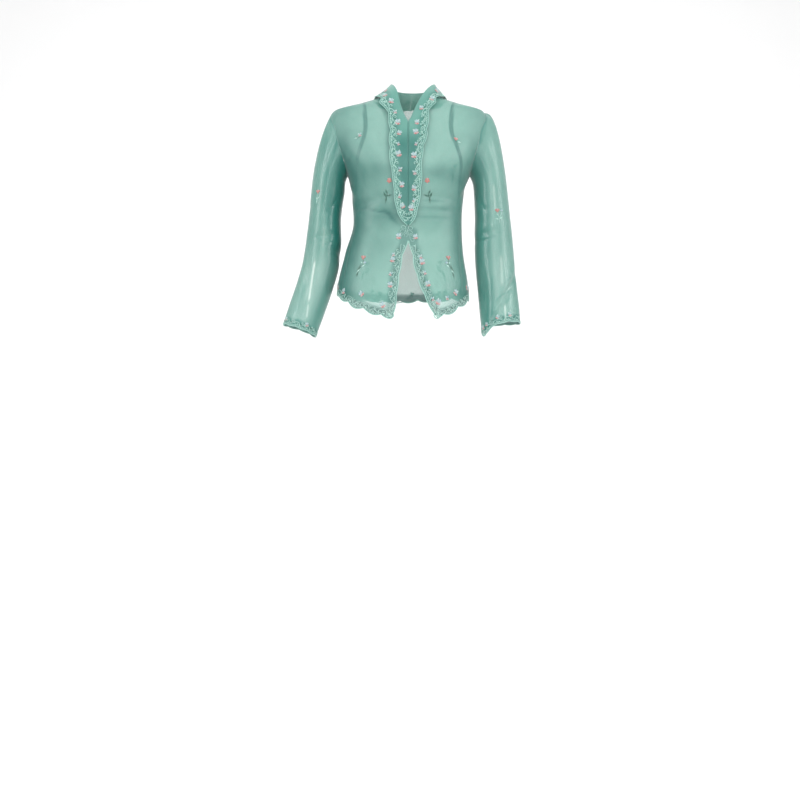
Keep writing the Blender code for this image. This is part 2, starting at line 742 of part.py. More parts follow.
def lapel(side):
    """The turned band, from the lapel's point up the front and round the neck to the centre back."""
    cloth = Cloth()
    last = len(LAPEL_EDGE) - 1
    step = np.linspace(0, last, LAPEL_STEPS + 1)
    rows = [cloth.add_row(*lapel_point(side, step, share)) for share in LAPEL_SHARES]
    fine = np.linspace(0, last, 400)
    edge = lapel_point(side, fine, np.ones(400))[0]
    along = np.concatenate([[0], np.cumsum(np.linalg.norm(np.diff(edge, axis=0), axis=1))])
    count = round(along[-1] / LAPEL_LOBE * POINTS_PER_LOBE)
    distance = np.linspace(0, along[-1], count + 1)
    step = np.interp(distance, along, fine)
    width = np.linalg.norm(lapel_point(side, step, np.ones(count + 1))[0] - lapel_point(side, step, 0.0)[0], axis=1)
    deep = smooth_step(lapel_lines(side, step)[1][1], -0.200, -0.140)
    notch = scallop(distance, LAPEL_LOBE, LOW_LAPEL_NOTCH + (LAPEL_NOTCH - LOW_LAPEL_NOTCH) * deep)
    rows.append(cloth.add_row(*lapel_point(side, step, 1 - np.minimum(notch / width, 0.1))))
    for inner, outer in zip(rows, rows[1:]):
        cloth.join(inner, outer)
    return cloth


def main():
    for leftover in list(bpy.data.objects):
        bpy.data.objects.remove(leftover)
    collection = bpy.data.collections.new("kebaya_blouse")
    bpy.context.scene.collection.children.link(collection)
    wall("back", back(), BODY_CLOTH, collection)
    for side, word in ((-1, "right"), (1, "left")):
        wall("front_centre_" + word, front_centre(side), BODY_CLOTH, collection)
        wall("front_side_" + word, front_side(side), BODY_CLOTH, collection)
        wall("sleeve_" + word, sleeve(side), SLEEVE_CLOTH, collection)
        wall("collar_" + word, lapel(side), COLLAR_CLOTH, collection)


main()
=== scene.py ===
# %% [markdown]
# # A sheer kebaya blouse
# A kebaya is a fitted blouse of see-through cloth, edged with machine embroidery. This lesson dresses
# a plain solid model of one: thin shells for the cloth, raised satin edges, vines and flowers for the
# embroidery, and a material that lets some light through. The packed model comes first, because every
# piece has to lie on it.

# %% Load the packed model
import math

import bmesh
import bpy
import numpy as np
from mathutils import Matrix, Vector


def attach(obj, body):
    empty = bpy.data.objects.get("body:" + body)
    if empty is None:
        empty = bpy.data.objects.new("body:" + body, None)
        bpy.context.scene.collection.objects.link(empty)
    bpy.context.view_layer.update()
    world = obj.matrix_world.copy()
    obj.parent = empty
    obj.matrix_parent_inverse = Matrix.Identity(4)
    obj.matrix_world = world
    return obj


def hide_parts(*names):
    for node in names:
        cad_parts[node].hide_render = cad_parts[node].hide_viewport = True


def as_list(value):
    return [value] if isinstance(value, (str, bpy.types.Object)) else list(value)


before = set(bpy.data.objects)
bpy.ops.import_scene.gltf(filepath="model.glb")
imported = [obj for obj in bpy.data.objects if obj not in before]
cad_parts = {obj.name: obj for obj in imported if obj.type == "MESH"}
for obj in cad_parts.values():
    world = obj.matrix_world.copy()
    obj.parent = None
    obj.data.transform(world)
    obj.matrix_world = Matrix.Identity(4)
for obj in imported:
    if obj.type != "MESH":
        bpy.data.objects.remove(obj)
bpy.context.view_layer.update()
bpy.ops.object.select_all(action="DESELECT")
print("nodes:", ", ".join(sorted(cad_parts)))

# %% [markdown]
# ## The camera
# The photograph was taken from the front, level, with the middle of the picture well below the blouse.
# A pixel there is 2.55 mm at the blouse's middle. That fixes the camera: its distance is a guess for a
# studio, and the lens follows from the distance and the width that the picture covers.

# %% Place the camera
CAMERA_DISTANCE = 2.3
METRES_A_PIXEL = 0.00255
PICTURE_PIXELS = 800
CAMERA_X = -0.0204
CAMERA_Z = -0.7676

camera_data = bpy.data.cameras.new("camera")
camera_data.sensor_width = 36.0
camera_data.lens = camera_data.sensor_width * CAMERA_DISTANCE / (METRES_A_PIXEL * PICTURE_PIXELS)
camera = bpy.data.objects.new("camera", camera_data)
camera.location = (CAMERA_X, -CAMERA_DISTANCE, CAMERA_Z)
camera.rotation_euler = (math.pi / 2, 0, 0)
bpy.context.scene.collection.objects.link(camera)
bpy.context.scene.camera = camera
print("lens", round(camera_data.lens, 1), "mm")

# %% [markdown]
# ## Floor, backdrop and light
# The photograph has a plain white ground. One sheet that is floor in front and sweeps up behind gives
# that without a horizon. Its sweep is extruded in short steps, each turned a little. Large soft lamps
# light the cloth evenly, and three narrow strips draw the thin streaks of shine that organza has.

# %% Make the stage
FLOOR_Z = -1.50
STAGE_HALF = 4.0
SWEEP_START_Y = 1.6
SWEEP_RADIUS = 1.2
SWEEP_STEPS = 16
BACKDROP_TOP = 4.0

bpy.ops.mesh.primitive_plane_add(size=2, location=(0, 0, FLOOR_Z))
stage = bpy.context.object
stage.name = "stage"
for vertex in stage.data.vertices:
    vertex.co.x *= STAGE_HALF
    vertex.co.y = SWEEP_START_Y if vertex.co.y > 0 else -STAGE_HALF
bpy.ops.object.mode_set(mode="EDIT")
bpy.ops.mesh.select_all(action="DESELECT")
bpy.ops.object.mode_set(mode="OBJECT")
for edge in stage.data.edges:
    edge.select = all(stage.data.vertices[i].co.y > SWEEP_START_Y - 0.01 for i in edge.vertices)
bpy.ops.object.mode_set(mode="EDIT")
bpy.ops.mesh.select_mode(type="EDGE")
for step in range(SWEEP_STEPS):
    middle = math.radians(90) * (step + 0.5) / SWEEP_STEPS
    run = 2 * SWEEP_RADIUS * math.sin(math.radians(45) / SWEEP_STEPS)
    move = (0, run * math.cos(middle), run * math.sin(middle))
    bpy.ops.mesh.extrude_region_move(TRANSFORM_OT_translate={"value": move})
bpy.ops.mesh.extrude_region_move(TRANSFORM_OT_translate={"value": (0, 0, BACKDROP_TOP)})
bpy.ops.object.mode_set(mode="OBJECT")
bpy.ops.object.shade_smooth()
bpy.ops.object.transform_apply(location=True, rotation=True, scale=True)
print("stage faces:", len(stage.data.polygons))

# %% Give the stage a plain pale finish
STAGE_WHITE = (0.93, 0.93, 0.93, 1)


def plain_material(name, colour, roughness):
    material = bpy.data.materials.new(name)
    material.use_nodes = True
    shader = material.node_tree.nodes["Principled BSDF"]
    shader.inputs["Base Color"].default_value = colour
    shader.inputs["Roughness"].default_value = roughness
    return material


stage.data.materials.append(plain_material("stage_white", STAGE_WHITE, 0.9))
print("stage finish:", stage.data.materials[0].name)

# %% Hang the lamps
# name: place, watts, width, height
LAMPS = {
    "left_softbox": ((-2.2, -1.6, 0.5), 34, 0.9, 1.8),
    "right_softbox": ((2.3, -1.4, 0.6), 30, 0.8, 1.8),
    "front_fill": ((0.2, -3.2, 0.7), 30, 2.2, 1.6),
    "top_fill": ((0.0, 0.3, 1.9), 22, 2.4, 2.0),
    "left_strip": ((-2.4, -1.3, 0.0), 3, 0.06, 1.4),
    "right_strip": ((2.4, -0.9, 0.0), 5, 0.06, 1.4),
    "front_strip": ((-0.35, -3.0, -0.3), 6, 0.05, 0.8),
}
LAMP_AIM = Vector((0, 0, -0.3))
WORLD_WHITE = (1.0, 1.0, 1.0, 1)
WORLD_STRENGTH = 0.75


def hang_lamp(name, place, watts, width, height):
    lamp_data = bpy.data.lights.new(name, "AREA")
    lamp_data.shape = "RECTANGLE"
    lamp_data.size = width
    lamp_data.size_y = height
    lamp_data.energy = watts
    lamp = bpy.data.objects.new(name, lamp_data)
    lamp.location = place
    lamp.rotation_euler = (LAMP_AIM - Vector(place)).to_track_quat("-Z", "Y").to_euler()
    bpy.context.scene.collection.objects.link(lamp)


for lamp_name, settings in LAMPS.items():
    hang_lamp(lamp_name, *settings)
world = bpy.data.worlds.new("studio")
world.use_nodes = True
world.node_tree.nodes["Background"].inputs["Color"].default_value = WORLD_WHITE
world.node_tree.nodes["Background"].inputs["Strength"].default_value = WORLD_STRENGTH
bpy.context.scene.world = world
bpy.context.scene.view_settings.view_transform = "Standard"
print("lamps:", len(LAMPS))

# %% [markdown]
# ## The shape that the cloth lies on
# A fitted blouse is full in front and narrow at the waist, and every shell, edge and flower here has to
# follow that one surface. It is written as a function of an angle round the body and a height, with a
# table of level rings behind it. The packed solids were made from the same tables, so both agree. A mesh
# could be sculpted instead, but then each flower would need its place found again after every change.
# Right and left are those of the blouse as worn, so its right side is on the left of the picture.

# %% Tables of the body
HALF_TURN = math.pi
FULLNESS = 0.06
BUST_DEPTH = 0.014
BUST_ANGLE = math.radians(38)
BUST_SPREAD = math.radians(21)
BUST_HEIGHT = -0.168
BUST_REACH = 0.050
# height, half width, front depth, back depth, middle x, middle y
BODY_RINGS = (
    (-0.620, 0.174, 0.120, 0.122, -0.014, 0.000),
    (-0.480, 0.166, 0.113, 0.114, -0.013, 0.000),
    (-0.400, 0.151, 0.104, 0.101, -0.010, 0.000),
    (-0.315, 0.138, 0.094, 0.086, -0.001, 0.000),
    (-0.265, 0.141, 0.099, 0.090, -0.001, 0.000),
    (-0.225, 0.147, 0.106, 0.097, 0.000, 0.000),
    (-0.195, 0.157, 0.110, 0.102, 0.002, 0.000),
    (-0.150, 0.181, 0.105, 0.106, 0.001, 0.000),
    (-0.110, 0.201, 0.094, 0.104, 0.000, 0.000),
    (-0.064, 0.206, 0.079, 0.093, 0.000, 0.000),
    (-0.037, 0.192, 0.067, 0.080, 0.001, -0.001),
    (-0.022, 0.134, 0.062, 0.073, 0.003, -0.002),
    (-0.007, 0.086, 0.057, 0.066, 0.006, -0.004),
    (0.030, 0.055, 0.047, 0.055, 0.012, -0.009),
    (0.060, 0.050, 0.044, 0.052, 0.013, -0.010),
)
# Creases that the solids have too: angle in degrees, height, half length, half width, depth, tilt
MAIN_CREASES = (
    (32, -0.270, 0.060, 0.009, 0.0030, -2),
    (36, -0.302, 0.075, 0.011, 0.0036, 4),
    (-48, -0.282, 0.060, 0.010, 0.0034, 9),
    (-20, -0.312, 0.045, 0.012, 0.0030, 30),
    (78, -0.245, 0.045, 0.010, 0.0030, 24),
    (-80, -0.252, 0.045, 0.010, 0.0030, -22),
    (140, -0.285, 0.080, 0.011, 0.0034, -5),
    (-145, -0.270, 0.075, 0.010, 0.0030, 6),
    (176, -0.315, 0.085, 0.012, 0.0036, 2),
    (118, -0.430, 0.060, 0.012, 0.0030, 78),
    (-122, -0.440, 0.060, 0.012, 0.0030, -80),
    (62, -0.440, 0.060, 0.012, 0.0030, 82),
    (-64, -0.430, 0.060, 0.012, 0.0030, -82),
)
# Finer ones. A plus depth is a trough and a minus depth a ridge.
FINE_CREASES = (
    (26, -0.281, 0.042, 0.0035, 0.0013, 1),
    (30, -0.294, 0.052, 0.0040, -0.0010, 3),
    (28, -0.316, 0.050, 0.0040, 0.0014, 3),
    (30, -0.326, 0.040, 0.0040, -0.0008, 4),
    (-52, -0.290, 0.030, 0.0040, 0.0010, 4),
    (-30, -0.304, 0.028, 0.0038, 0.0014, -13),
    (-14, -0.326, 0.028, 0.0038, 0.0014, -44),
    (-60, -0.272, 0.030, 0.0040, -0.0008, 14),
    (64, -0.232, 0.036, 0.0045, 0.0010, 32),
    (-66, -0.236, 0.036, 0.0045, 0.0010, -30),
    (58, -0.100, 0.040, 0.0060, 0.0010, -58),
    (-58, -0.098, 0.040, 0.0060, 0.0010, 56),
    (150, -0.300, 0.060, 0.0045, 0.0012, -8),
    (-160, -0.290, 0.055, 0.0045, 0.0012, 7),
    (178, -0.335, 0.070, 0.0045, 0.0012, -2),
    (-168, -0.262, 0.050, 0.0045, -0.0009, 4),
    (128, -0.250, 0.045, 0.0045, 0.0011, 22),
    (-128, -0.246, 0.045, 0.0045, 0.0011, -24),
    (160, -0.130, 0.050, 0.0060, 0.0010, 60),
    (-158, -0.126, 0.050, 0.0060, 0.0010, -62),
    (100, -0.450, 0.060, 0.0080, 0.0016, 84),
    (150, -0.450, 0.060, 0.0080, 0.0015, 88),
    (-100, -0.455, 0.060, 0.0080, 0.0016, -84),
    (-150, -0.448, 0.060, 0.0080, 0.0015, -86),
    (176, -0.460, 0.055, 0.0080, 0.0015, 90),
)
print("rings:", len(BODY_RINGS), "creases:", len(MAIN_CREASES), "and", len(FINE_CREASES))


# %% Read the tables
def read_table(table, at):
    """Reads a table by its first column, along a smooth curve that never overshoots between rows."""
    rows = np.array(table, float)
    key, values = rows[:, 0], rows[:, 1:]
    at = np.atleast_1d(np.asarray(at, float))
    slope = np.diff(values, axis=0) / np.diff(key)[:, None]
    product = slope[1:] * slope[:-1]
    mean = np.where(product > 0, 2 * product / (slope[1:] + slope[:-1] + 1e-12), 0.0)
    tangent = np.vstack([slope[:1], mean, slope[-1:]])
    i = np.clip(np.searchsorted(key, at, side="right") - 1, 0, len(key) - 2)
    width = (key[i + 1] - key[i])[:, None]
    s = np.clip((at - key[i]) / width[:, 0], 0, 1)[:, None]
    start = (1 + 2 * s) * (1 - s) ** 2 * values[i] + s * (1 - s) ** 2 * width * tangent[i]
    end = s * s * (3 - 2 * s) * values[i + 1] + s * s * (s - 1) * width * tangent[i + 1]
    return start + end


def unit(vectors):
    return vectors / np.maximum(np.linalg.norm(vectors, axis=-1, keepdims=True), 1e-12)


def smooth_step(value, start, end):
    share = np.clip((value - start) / (end - start), 0, 1)
    return share * share * (3 - 2 * share)


def crease_depth(creases, across, along, radius):
    """How far the cloth sinks at each point. across is an angle and along a height or a distance."""
    sunk = np.zeros_like(across)
    for angle, place, half_length, half_width, depth, tilt in creases:
        turn = (across - math.radians(angle) + HALF_TURN) % (2 * HALF_TURN) - HALF_TURN
        sideways, up = turn * radius, along - place
        lean = math.radians(tilt)
        u = sideways * math.cos(lean) + up * math.sin(lean)
        v = up * math.cos(lean) - sideways * math.sin(lean)
        sunk += depth * np.exp(-((u / half_length) ** 2) - (v / half_width) ** 2)
    return sunk


waist = min(BODY_RINGS[:8], key=lambda ring: ring[1])
print("waist:", 2 * waist[1], "m wide at height", waist[0])


# %% Turn the tables into a surface
def body_point(angle, height):
    half, front, back, middle_x, middle_y = read_table(BODY_RINGS, height).T
    square = 1 + FULLNESS * np.sin(2 * angle) ** 2
    depth = np.where(np.cos(angle) > 0, front, back)
    bust = np.exp(-(((np.abs(angle) - BUST_ANGLE) / BUST_SPREAD) ** 2))
    swell = BUST_DEPTH * bust * np.exp(-(((height - BUST_HEIGHT) / BUST_REACH) ** 2))
    swell -= crease_depth(MAIN_CREASES + FINE_CREASES, angle, height, half)
    x = middle_x + (half * square + swell) * np.sin(angle)
    y = middle_y - (depth * square + swell) * np.cos(angle)
    return np.stack([x, y, height], axis=-1)


SMALL = 1e-4


def outward_of(surface, a, b):
    """Outward directions on a surface of two numbers, from its slopes."""
    across = surface(a + SMALL, b) - surface(a - SMALL, b)
    up = surface(a, b + SMALL) - surface(a, b - SMALL)
    return unit(np.cross(across, up))


def body_out(angle, height):
    return outward_of(body_point, angle, height)


chest = body_point(np.array([0.0]), np.array([BUST_HEIGHT]))[0]
print("centre front at bust height:", np.round(chest, 3))

# %% [markdown]
# ## Where the cloth is cut
# The blouse is cut into two centre fronts, two side fronts, one back, two sleeves and two turned bands.
# Its seams over the bust give it its shape. These functions say where each cut edge runs, so that two
# neighbours always share one line.

# %% Tables of the cut edges
NECK_TOP = 0.030
SHOULDER_TIP = -0.037
UNDERARM = -0.197
OPENING_TOP = -0.383
V_BOTTOM = -0.084
# height, distance from the middle
BUST_SEAM = (
    (-0.620, 0.150), (-0.480, 0.143), (-0.400, 0.131), (-0.315, 0.122), (-0.260, 0.121),
    (-0.200, 0.116), (-0.150, 0.106), (-0.100, 0.100), (-0.050, 0.103), (-0.0145, 0.110),
)
NECKLINE = (
    (-0.084, 0.0000), (-0.070, 0.0075), (-0.035, 0.0200),
    (0.002, 0.0338), (0.018, 0.0430), (0.030, 0.0550),
)
# height, x on the right side, x on the left side
FRONT_EDGES = (
    (-0.600, -0.042, 0.074), (-0.568, -0.036, 0.062), (-0.539, -0.030, 0.048), (-0.505, -0.026, 0.033),
    (-0.479, -0.023, 0.024), (-0.446, -0.018, 0.014), (-0.415, -0.012, 0.009), (-0.383, 0.000, 0.000),
)
# angle in degrees, height on the right side, height on the left side
HEM_LINE = (
    (0, -0.573, -0.572), (12, -0.571, -0.573), (24, -0.561, -0.574), (32, -0.551, -0.567),
    (43, -0.541, -0.555), (52, -0.528, -0.541), (66, -0.515, -0.528), (80, -0.504, -0.517),
    (90, -0.502, -0.509), (135, -0.505, -0.506), (180, -0.509, -0.509),
)
HEM_LOBE = 0.048
HEM_NOTCH = 0.0075
FRONT_EDGE_NOTCH = 0.0025
CORNER_RADIUS = 0.011
print("rows of the bust seam:", len(BUST_SEAM), "of the hem:", len(HEM_LINE))


# %% Cut edges of the body
def ring_half(height):
    return read_table(BODY_RINGS, height)[:, 0]


def angle_at(x_from_middle, height):
    return np.arcsin(np.clip(x_from_middle / ring_half(height), -1, 1))


def bust_seam_angle(height):
    reached = angle_at(read_table(BUST_SEAM, height)[:, 0], height)
    return np.where(height >= BUST_SEAM[-1][0], HALF_TURN / 2, reached)


def front_edge_angle(side, height):
    """The parted edge, the closed centre, then the neckline."""
    middle_x = read_table(BODY_RINGS, height)[:, 3]
    edge_x = read_table(FRONT_EDGES, height)[:, 0 if side < 0 else 1]
    parted = angle_at(side * (edge_x - middle_x), height)
    neck = angle_at(read_table(NECKLINE, height)[:, 0], height)
    neck = np.where(height >= NECK_TOP, HALF_TURN / 2, neck)
    return np.where(height > V_BOTTOM, neck, parted)


def scallop(distance, lobe, notch):
    return notch * (1 - np.abs(np.sin(HALF_TURN * distance / lobe)) ** 0.75)


def hem_height(side, angle):
    """The hem's furthest line. Angles past the centre back lie on the other side."""
    past = angle > HALF_TURN
    heights = read_table(HEM_LINE, np.degrees(np.where(past, 2 * HALF_TURN - angle, angle)))
    return np.where(past if side < 0 else ~past, heights[:, 1], heights[:, 0])


def hem_distance(side, angle):
    """Distance along the hem from the side seam, which the lobes are counted with."""
    fine = np.radians(np.linspace(0, 360, 721))
    points = body_point(side * fine, hem_height(side, fine))
    along = np.concatenate([[0], np.cumsum(np.linalg.norm(np.diff(points, axis=0), axis=1))])
    return np.interp(angle, fine, along) - np.interp(HALF_TURN / 2, fine, along)


def scalloped_hem(side, angle):
    return hem_height(side, angle) + scallop(hem_distance(side, angle), HEM_LOBE, HEM_NOTCH)


print("hem, side seam to centre back:", round(float(hem_distance(1, np.array([HALF_TURN]))[0]), 3), "m")

# %% Armholes
ARMHOLE_MIDDLE = (SHOULDER_TIP + UNDERARM) / 2
ARMHOLE_RISE = (SHOULDER_TIP - UNDERARM) / 2
ARMHOLE_WIDTH = 0.052
ARMHOLE_EGG = 0.22
# side: outward at the top, upward at the top, pull at the top, then the same under the arm
SLEEVE_START = {
    -1: (0.50, -0.87, 0.30, 0.46, -0.89, 0.40),
    1: (0.98, 0.16, 0.16, 0.46, -0.89, 0.40),
}


def armhole_half_width(turn):
    return ARMHOLE_WIDTH * np.sin(turn) * (1 - ARMHOLE_EGG * np.cos(turn))


def armhole_cut(depth, turn):
    return np.arccos(np.clip(armhole_half_width(turn) / depth, -1, 1))


def armhole_angle(height, is_back):
    turn = np.arccos(np.clip((height - ARMHOLE_MIDDLE) / ARMHOLE_RISE, -1, 1))
    cut = armhole_cut(read_table(BODY_RINGS, height)[:, 2 if is_back else 1], turn)
    return HALF_TURN - cut if is_back else cut


def armhole_place(side, turn):
    """Body angle and height at a turn: 0 at the shoulder, 90 degrees at the front, 180 under the arm."""
    height = ARMHOLE_MIDDLE + ARMHOLE_RISE * np.cos(turn)
    behind = turn > HALF_TURN
    rings = read_table(BODY_RINGS, height)
    depth = np.where(behind, rings[:, 2], rings[:, 1])
    cut = armhole_cut(depth, np.where(behind, 2 * HALF_TURN - turn, turn))
    return side * np.where(behind, HALF_TURN - cut, cut), height


def sleeve_start(side, turn):
    """The direction in which the sleeve leaves the armhole, and its pull."""
    share = ((1 + np.cos(turn)) / 2)[:, None]
    rows = np.array(SLEEVE_START[side])
    mixed = share * rows[:3] + (1 - share) * rows[3:]
    outward = np.stack([side * mixed[:, 0], np.zeros(len(turn)), mixed[:, 1]], axis=-1)
    return unit(outward), mixed[:, 2:]


print("armhole, top to bottom:", round(2 * ARMHOLE_RISE, 3), "m")

# %% Tables of the sleeves
# x, y, height, width seen from the front, depth
RIGHT_ARM = (
    (-0.2040, 0.002, -0.236, 0.085, 0.104), (-0.2115, 0.004, -0.300, 0.082, 0.100),
    (-0.2145, 0.003, -0.360, 0.090, 0.099), (-0.2210, -0.002, -0.418, 0.093, 0.096),
    (-0.2350, -0.012, -0.475, 0.092, 0.091), (-0.2545, -0.026, -0.538, 0.091, 0.085),
    (-0.2725, -0.039, -0.594, 0.088, 0.080),
)
LEFT_ARM = (
    (0.2105, 0.002, -0.236, 0.086, 0.104), (0.2155, 0.004, -0.300, 0.090, 0.101),
    (0.2180, 0.003, -0.356, 0.097, 0.099), (0.2215, -0.002, -0.424, 0.100, 0.096),
    (0.2270, -0.010, -0.492, 0.100, 0.092), (0.2310, -0.018, -0.540, 0.101, 0.089),
    (0.2340, -0.025, -0.584, 0.099, 0.088),
)
# turn in degrees, distance below the bicep, half length, half width, depth, tilt in degrees
RIGHT_SLEEVE_CREASES = (
    (95, 0.125, 0.035, 0.012, 0.0034, -16), (160, 0.155, 0.030, 0.014, 0.0042, 10),
    (245, 0.120, 0.035, 0.013, 0.0034, 14), (60, 0.240, 0.060, 0.012, 0.0030, 78),
    (285, 0.250, 0.055, 0.012, 0.0030, -76), (330, 0.060, 0.035, 0.011, 0.0026, -24),
    (150, 0.170, 0.030, 0.0045, 0.0014, 12), (110, 0.140, 0.026, 0.0045, 0.0012, -14),
    (120, 0.040, 0.040, 0.0060, 0.0011, -60), (75, 0.290, 0.050, 0.0060, 0.0012, 84),
    (250, 0.150, 0.030, 0.0050, 0.0012, 18), (210, 0.060, 0.040, 0.0060, 0.0012, 66),
)
LEFT_SLEEVE_CREASES = (
    (120, 0.115, 0.035, 0.012, 0.0036, 6), (40, 0.245, 0.040, 0.010, 0.0034, 48),
    (75, 0.285, 0.045, 0.010, 0.0034, 50), (235, 0.115, 0.035, 0.012, 0.0034, -12),
    (140, 0.275, 0.060, 0.012, 0.0036, 84), (300, 0.260, 0.055, 0.012, 0.0030, -78),
    (130, 0.125, 0.032, 0.0045, 0.0014, 8), (60, 0.262, 0.036, 0.0045, 0.0013, 50),
    (95, 0.300, 0.034, 0.0045, 0.0012, 54), (130, 0.040, 0.040, 0.0060, 0.0011, -62),
    (240, 0.140, 0.030, 0.0050, 0.0012, -16), (215, 0.060, 0.040, 0.0060, 0.0012, 64),
)
# turn in degrees, extra length of the cuff
RIGHT_CUFF = ((0, 0.000), (90, 0.005), (180, 0.004), (270, -0.011), (360, 0.000))
LEFT_CUFF = (
    (0, -0.004), (60, -0.003), (115, 0.005), (155, 0.025), (185, 0.015), (270, -0.014), (360, -0.004),
)
CUFF_LOBE = 0.030
CUFF_NOTCH = 0.0022
print("creases on the sleeves:", len(RIGHT_SLEEVE_CREASES), "and", len(LEFT_SLEEVE_CREASES))


# %% Sleeves below the bicep
def arm_sections(side):
    rows = np.array(RIGHT_ARM if side < 0 else LEFT_ARM)
    steps = np.linalg.norm(np.diff(rows[:, :3], axis=0), axis=1)
    return np.column_stack([np.concatenate([[0], np.cumsum(steps)]), rows])


def arm_point(side, turn, distance):
    """Points below the bicep. turn is 0 on the outside, 90 degrees in front and 180 next to the body."""
    sections = arm_sections(side)
    middle = read_table(sections, distance)
    inside = np.clip(distance, 0.01, sections[-1, 0] - 0.01)
    down = unit(read_table(sections, inside + 0.01)[:, :3] - read_table(sections, inside - 0.01)[:, :3])
    beyond = np.maximum(distance - sections[-1, 0], 0)[:, None]
    outward = unit(np.cross(down, np.array([0.0, side, 0.0])))
    forward = unit(np.cross(down, outward)) * side
    width, depth = middle[:, 3:4] / 2, middle[:, 4:5] / 2
    creases = RIGHT_SLEEVE_CREASES if side < 0 else LEFT_SLEEVE_CREASES
    sunk = crease_depth(creases, turn, distance, width[:, 0])[:, None]
    ring = outward * (width - sunk) * np.cos(turn)[:, None] + forward * (depth - sunk) * np.sin(turn)[:, None]
    return middle[:, :3] + down * beyond + ring


def cuff_reach(side, turn):
    return read_table(RIGHT_CUFF if side < 0 else LEFT_CUFF, np.degrees(turn % (2 * HALF_TURN)))[:, 0]


def arm_length(side):
    return arm_sections(side)[-1, 0]


print("bicep to cuff:", round(arm_length(-1), 3), "and", round(arm_length(1), 3), "m")

# %% The turned bands
LAPEL_LOBE = 0.050
LAPEL_NOTCH = 0.0045
LOW_LAPEL_NOTCH = 0.0015
LAPEL_CLEAR = 0.0018
LAPEL_LIFT = 0.0014
COLLAR_LIFT = 0.0040
COLLAR_ROLL = 0.0030
COLLAR_FROM = -0.110
COLLAR_FULL = -0.030
# angle of the outer edge on the right and on the left, its height, then angle and height of the fold.
# Below the top of the neck the fold follows the front's own edge.
BAND = (
    (1.0, 1.6, -0.343, 0.0, -0.338), (7.6, 6.6, -0.325, 0.0, -0.318), (12.0, 9.4, -0.303, 0.0, -0.296),
    (14.2, 12.0, -0.268, 0.0, -0.265), (14.8, 12.9, -0.225, 0.0, -0.222), (15.7, 11.6, -0.186, 0.0, -0.184),
    (14.8, 12.4, -0.150, 0.0, -0.146), (13.4, 13.6, -0.114, 0.0, -0.112), (13.4, 14.0, -0.082, 0.0, -0.084),
    (15.6, 15.0, -0.055, 6.0, -0.042), (24.0, 22.0, -0.031, 18.0, -0.012), (46.0, 44.0, -0.015, 42.0, 0.014),
    (90.0, 90.0, -0.010, 90.0, 0.030), (130.0, 130.0, -0.012, 130.0, 0.030),
    (179.8, 179.8, -0.014, 179.8, 0.030),
)
BAND_END = len(BAND) - 1


def band_lines(side, step):
    rows = read_table([(number, *row) for number, row in enumerate(BAND)], step)
    height = rows[:, 4]
    follows = front_edge_angle(side, height)
    on_front = height < NECK_TOP - 1e-6
    fold_angle = np.where(on_front, np.minimum(follows, HALF_TURN / 2), np.radians(rows[:, 3]))
    edge_angle = np.radians(rows[:, 0 if side < 0 else 1]) + follows * (rows[:, 2] < V_BOTTOM)
    return np.stack([fold_angle, height]), np.stack([edge_angle, rows[:, 2]])


def band_point(side, step, share):
    """share is 0 on the fold and 1 on the outer line."""
    fold, edge = band_lines(side, step)
    angle, height = fold + (edge - fold) * share
    collar = smooth_step(edge[1], COLLAR_FROM, COLLAR_FULL)
    lift = share**2 * (LAPEL_LIFT + (COLLAR_LIFT - LAPEL_LIFT) * collar)
    lift += COLLAR_ROLL * collar * 4 * share * (1 - share)
    return body_point(side * angle, height) + body_out(side * angle, height) * (LAPEL_CLEAR + lift)[:, None]


def band_width(side, step):
    across = band_point(side, step, np.ones_like(step)) - band_point(side, step, 0 * step)
    return np.linalg.norm(across, axis=1)


print("band width at the bust:", round(float(band_width(1, np.array([5.0]))[0]), 3), "m")

# %% [markdown]
# ## The organza
# Organza is a plain weave of very fine, stiff, shiny yarn, with gaps between the yarns that let light
# through. A real one has about thirty yarns to a centimetre, and fifteen are drawn here. Either way it
# reads as a smooth tint from far away. The weave is a node group, because the body, the sleeves and the
# bands all need it in a colour of their own. It reads the piece's own UV map in metres, so that the yarns
# follow the cloth round the body. Where the cloth is doubled, at the seams, less light comes through.
# The sides, which turn away and are seen at a slant, the folds, and places that fall away from the light
# are given painted shade as well. Each shell carries both in an attribute called depth. A depth below
# nought marks a painted highlight, a gleam where a sharp fold would catch the light.


# %% Helpers for colours and nodes
def srgb(red, green, blue):
    """A given colour, as the shader wants it."""
    shares = (red / 255, green / 255, blue / 255)
    return tuple(c / 12.92 if c < 0.04045 else ((c + 0.055) / 1.055) ** 2.4 for c in shares) + (1,)


def node(tree, kind, inputs=(), **settings):
    made = tree.nodes.new(kind)
    for name, value in settings.items():
        setattr(made, name, value)
    for socket, value in dict(inputs).items():
        if isinstance(value, bpy.types.NodeSocket):
            tree.links.new(value, made.inputs[socket])
        else:
            made.inputs[socket].default_value = value
    return made


def node_group(name, inputs, outputs):
    group = bpy.data.node_groups.new(name, "ShaderNodeTree")
    for label, kind, value in inputs:
        socket = group.interface.new_socket(label, in_out="INPUT", socket_type=kind)
        if value is not None:
            socket.default_value = value
    for label, kind in outputs:
        group.interface.new_socket(label, in_out="OUTPUT", socket_type=kind)
    return group, node(group, "NodeGroupInput"), node(group, "NodeGroupOutput")


def maths(tree, operation, first, second=0.0):
    return node(tree, "ShaderNodeMath", {0: first, 1: second}, operation=operation).outputs[0]


def place_group(tree, group, inputs):
    placed = tree.nodes.new("ShaderNodeGroup")
    placed.node_tree = group
    for socket, value in inputs.items():
        if isinstance(value, bpy.types.NodeSocket):
            tree.links.new(value, placed.inputs[socket])
        else:
            placed.inputs[socket].default_value = value
    return placed


print("a mint as the shader sees it:", np.round(srgb(110, 166, 152), 3))

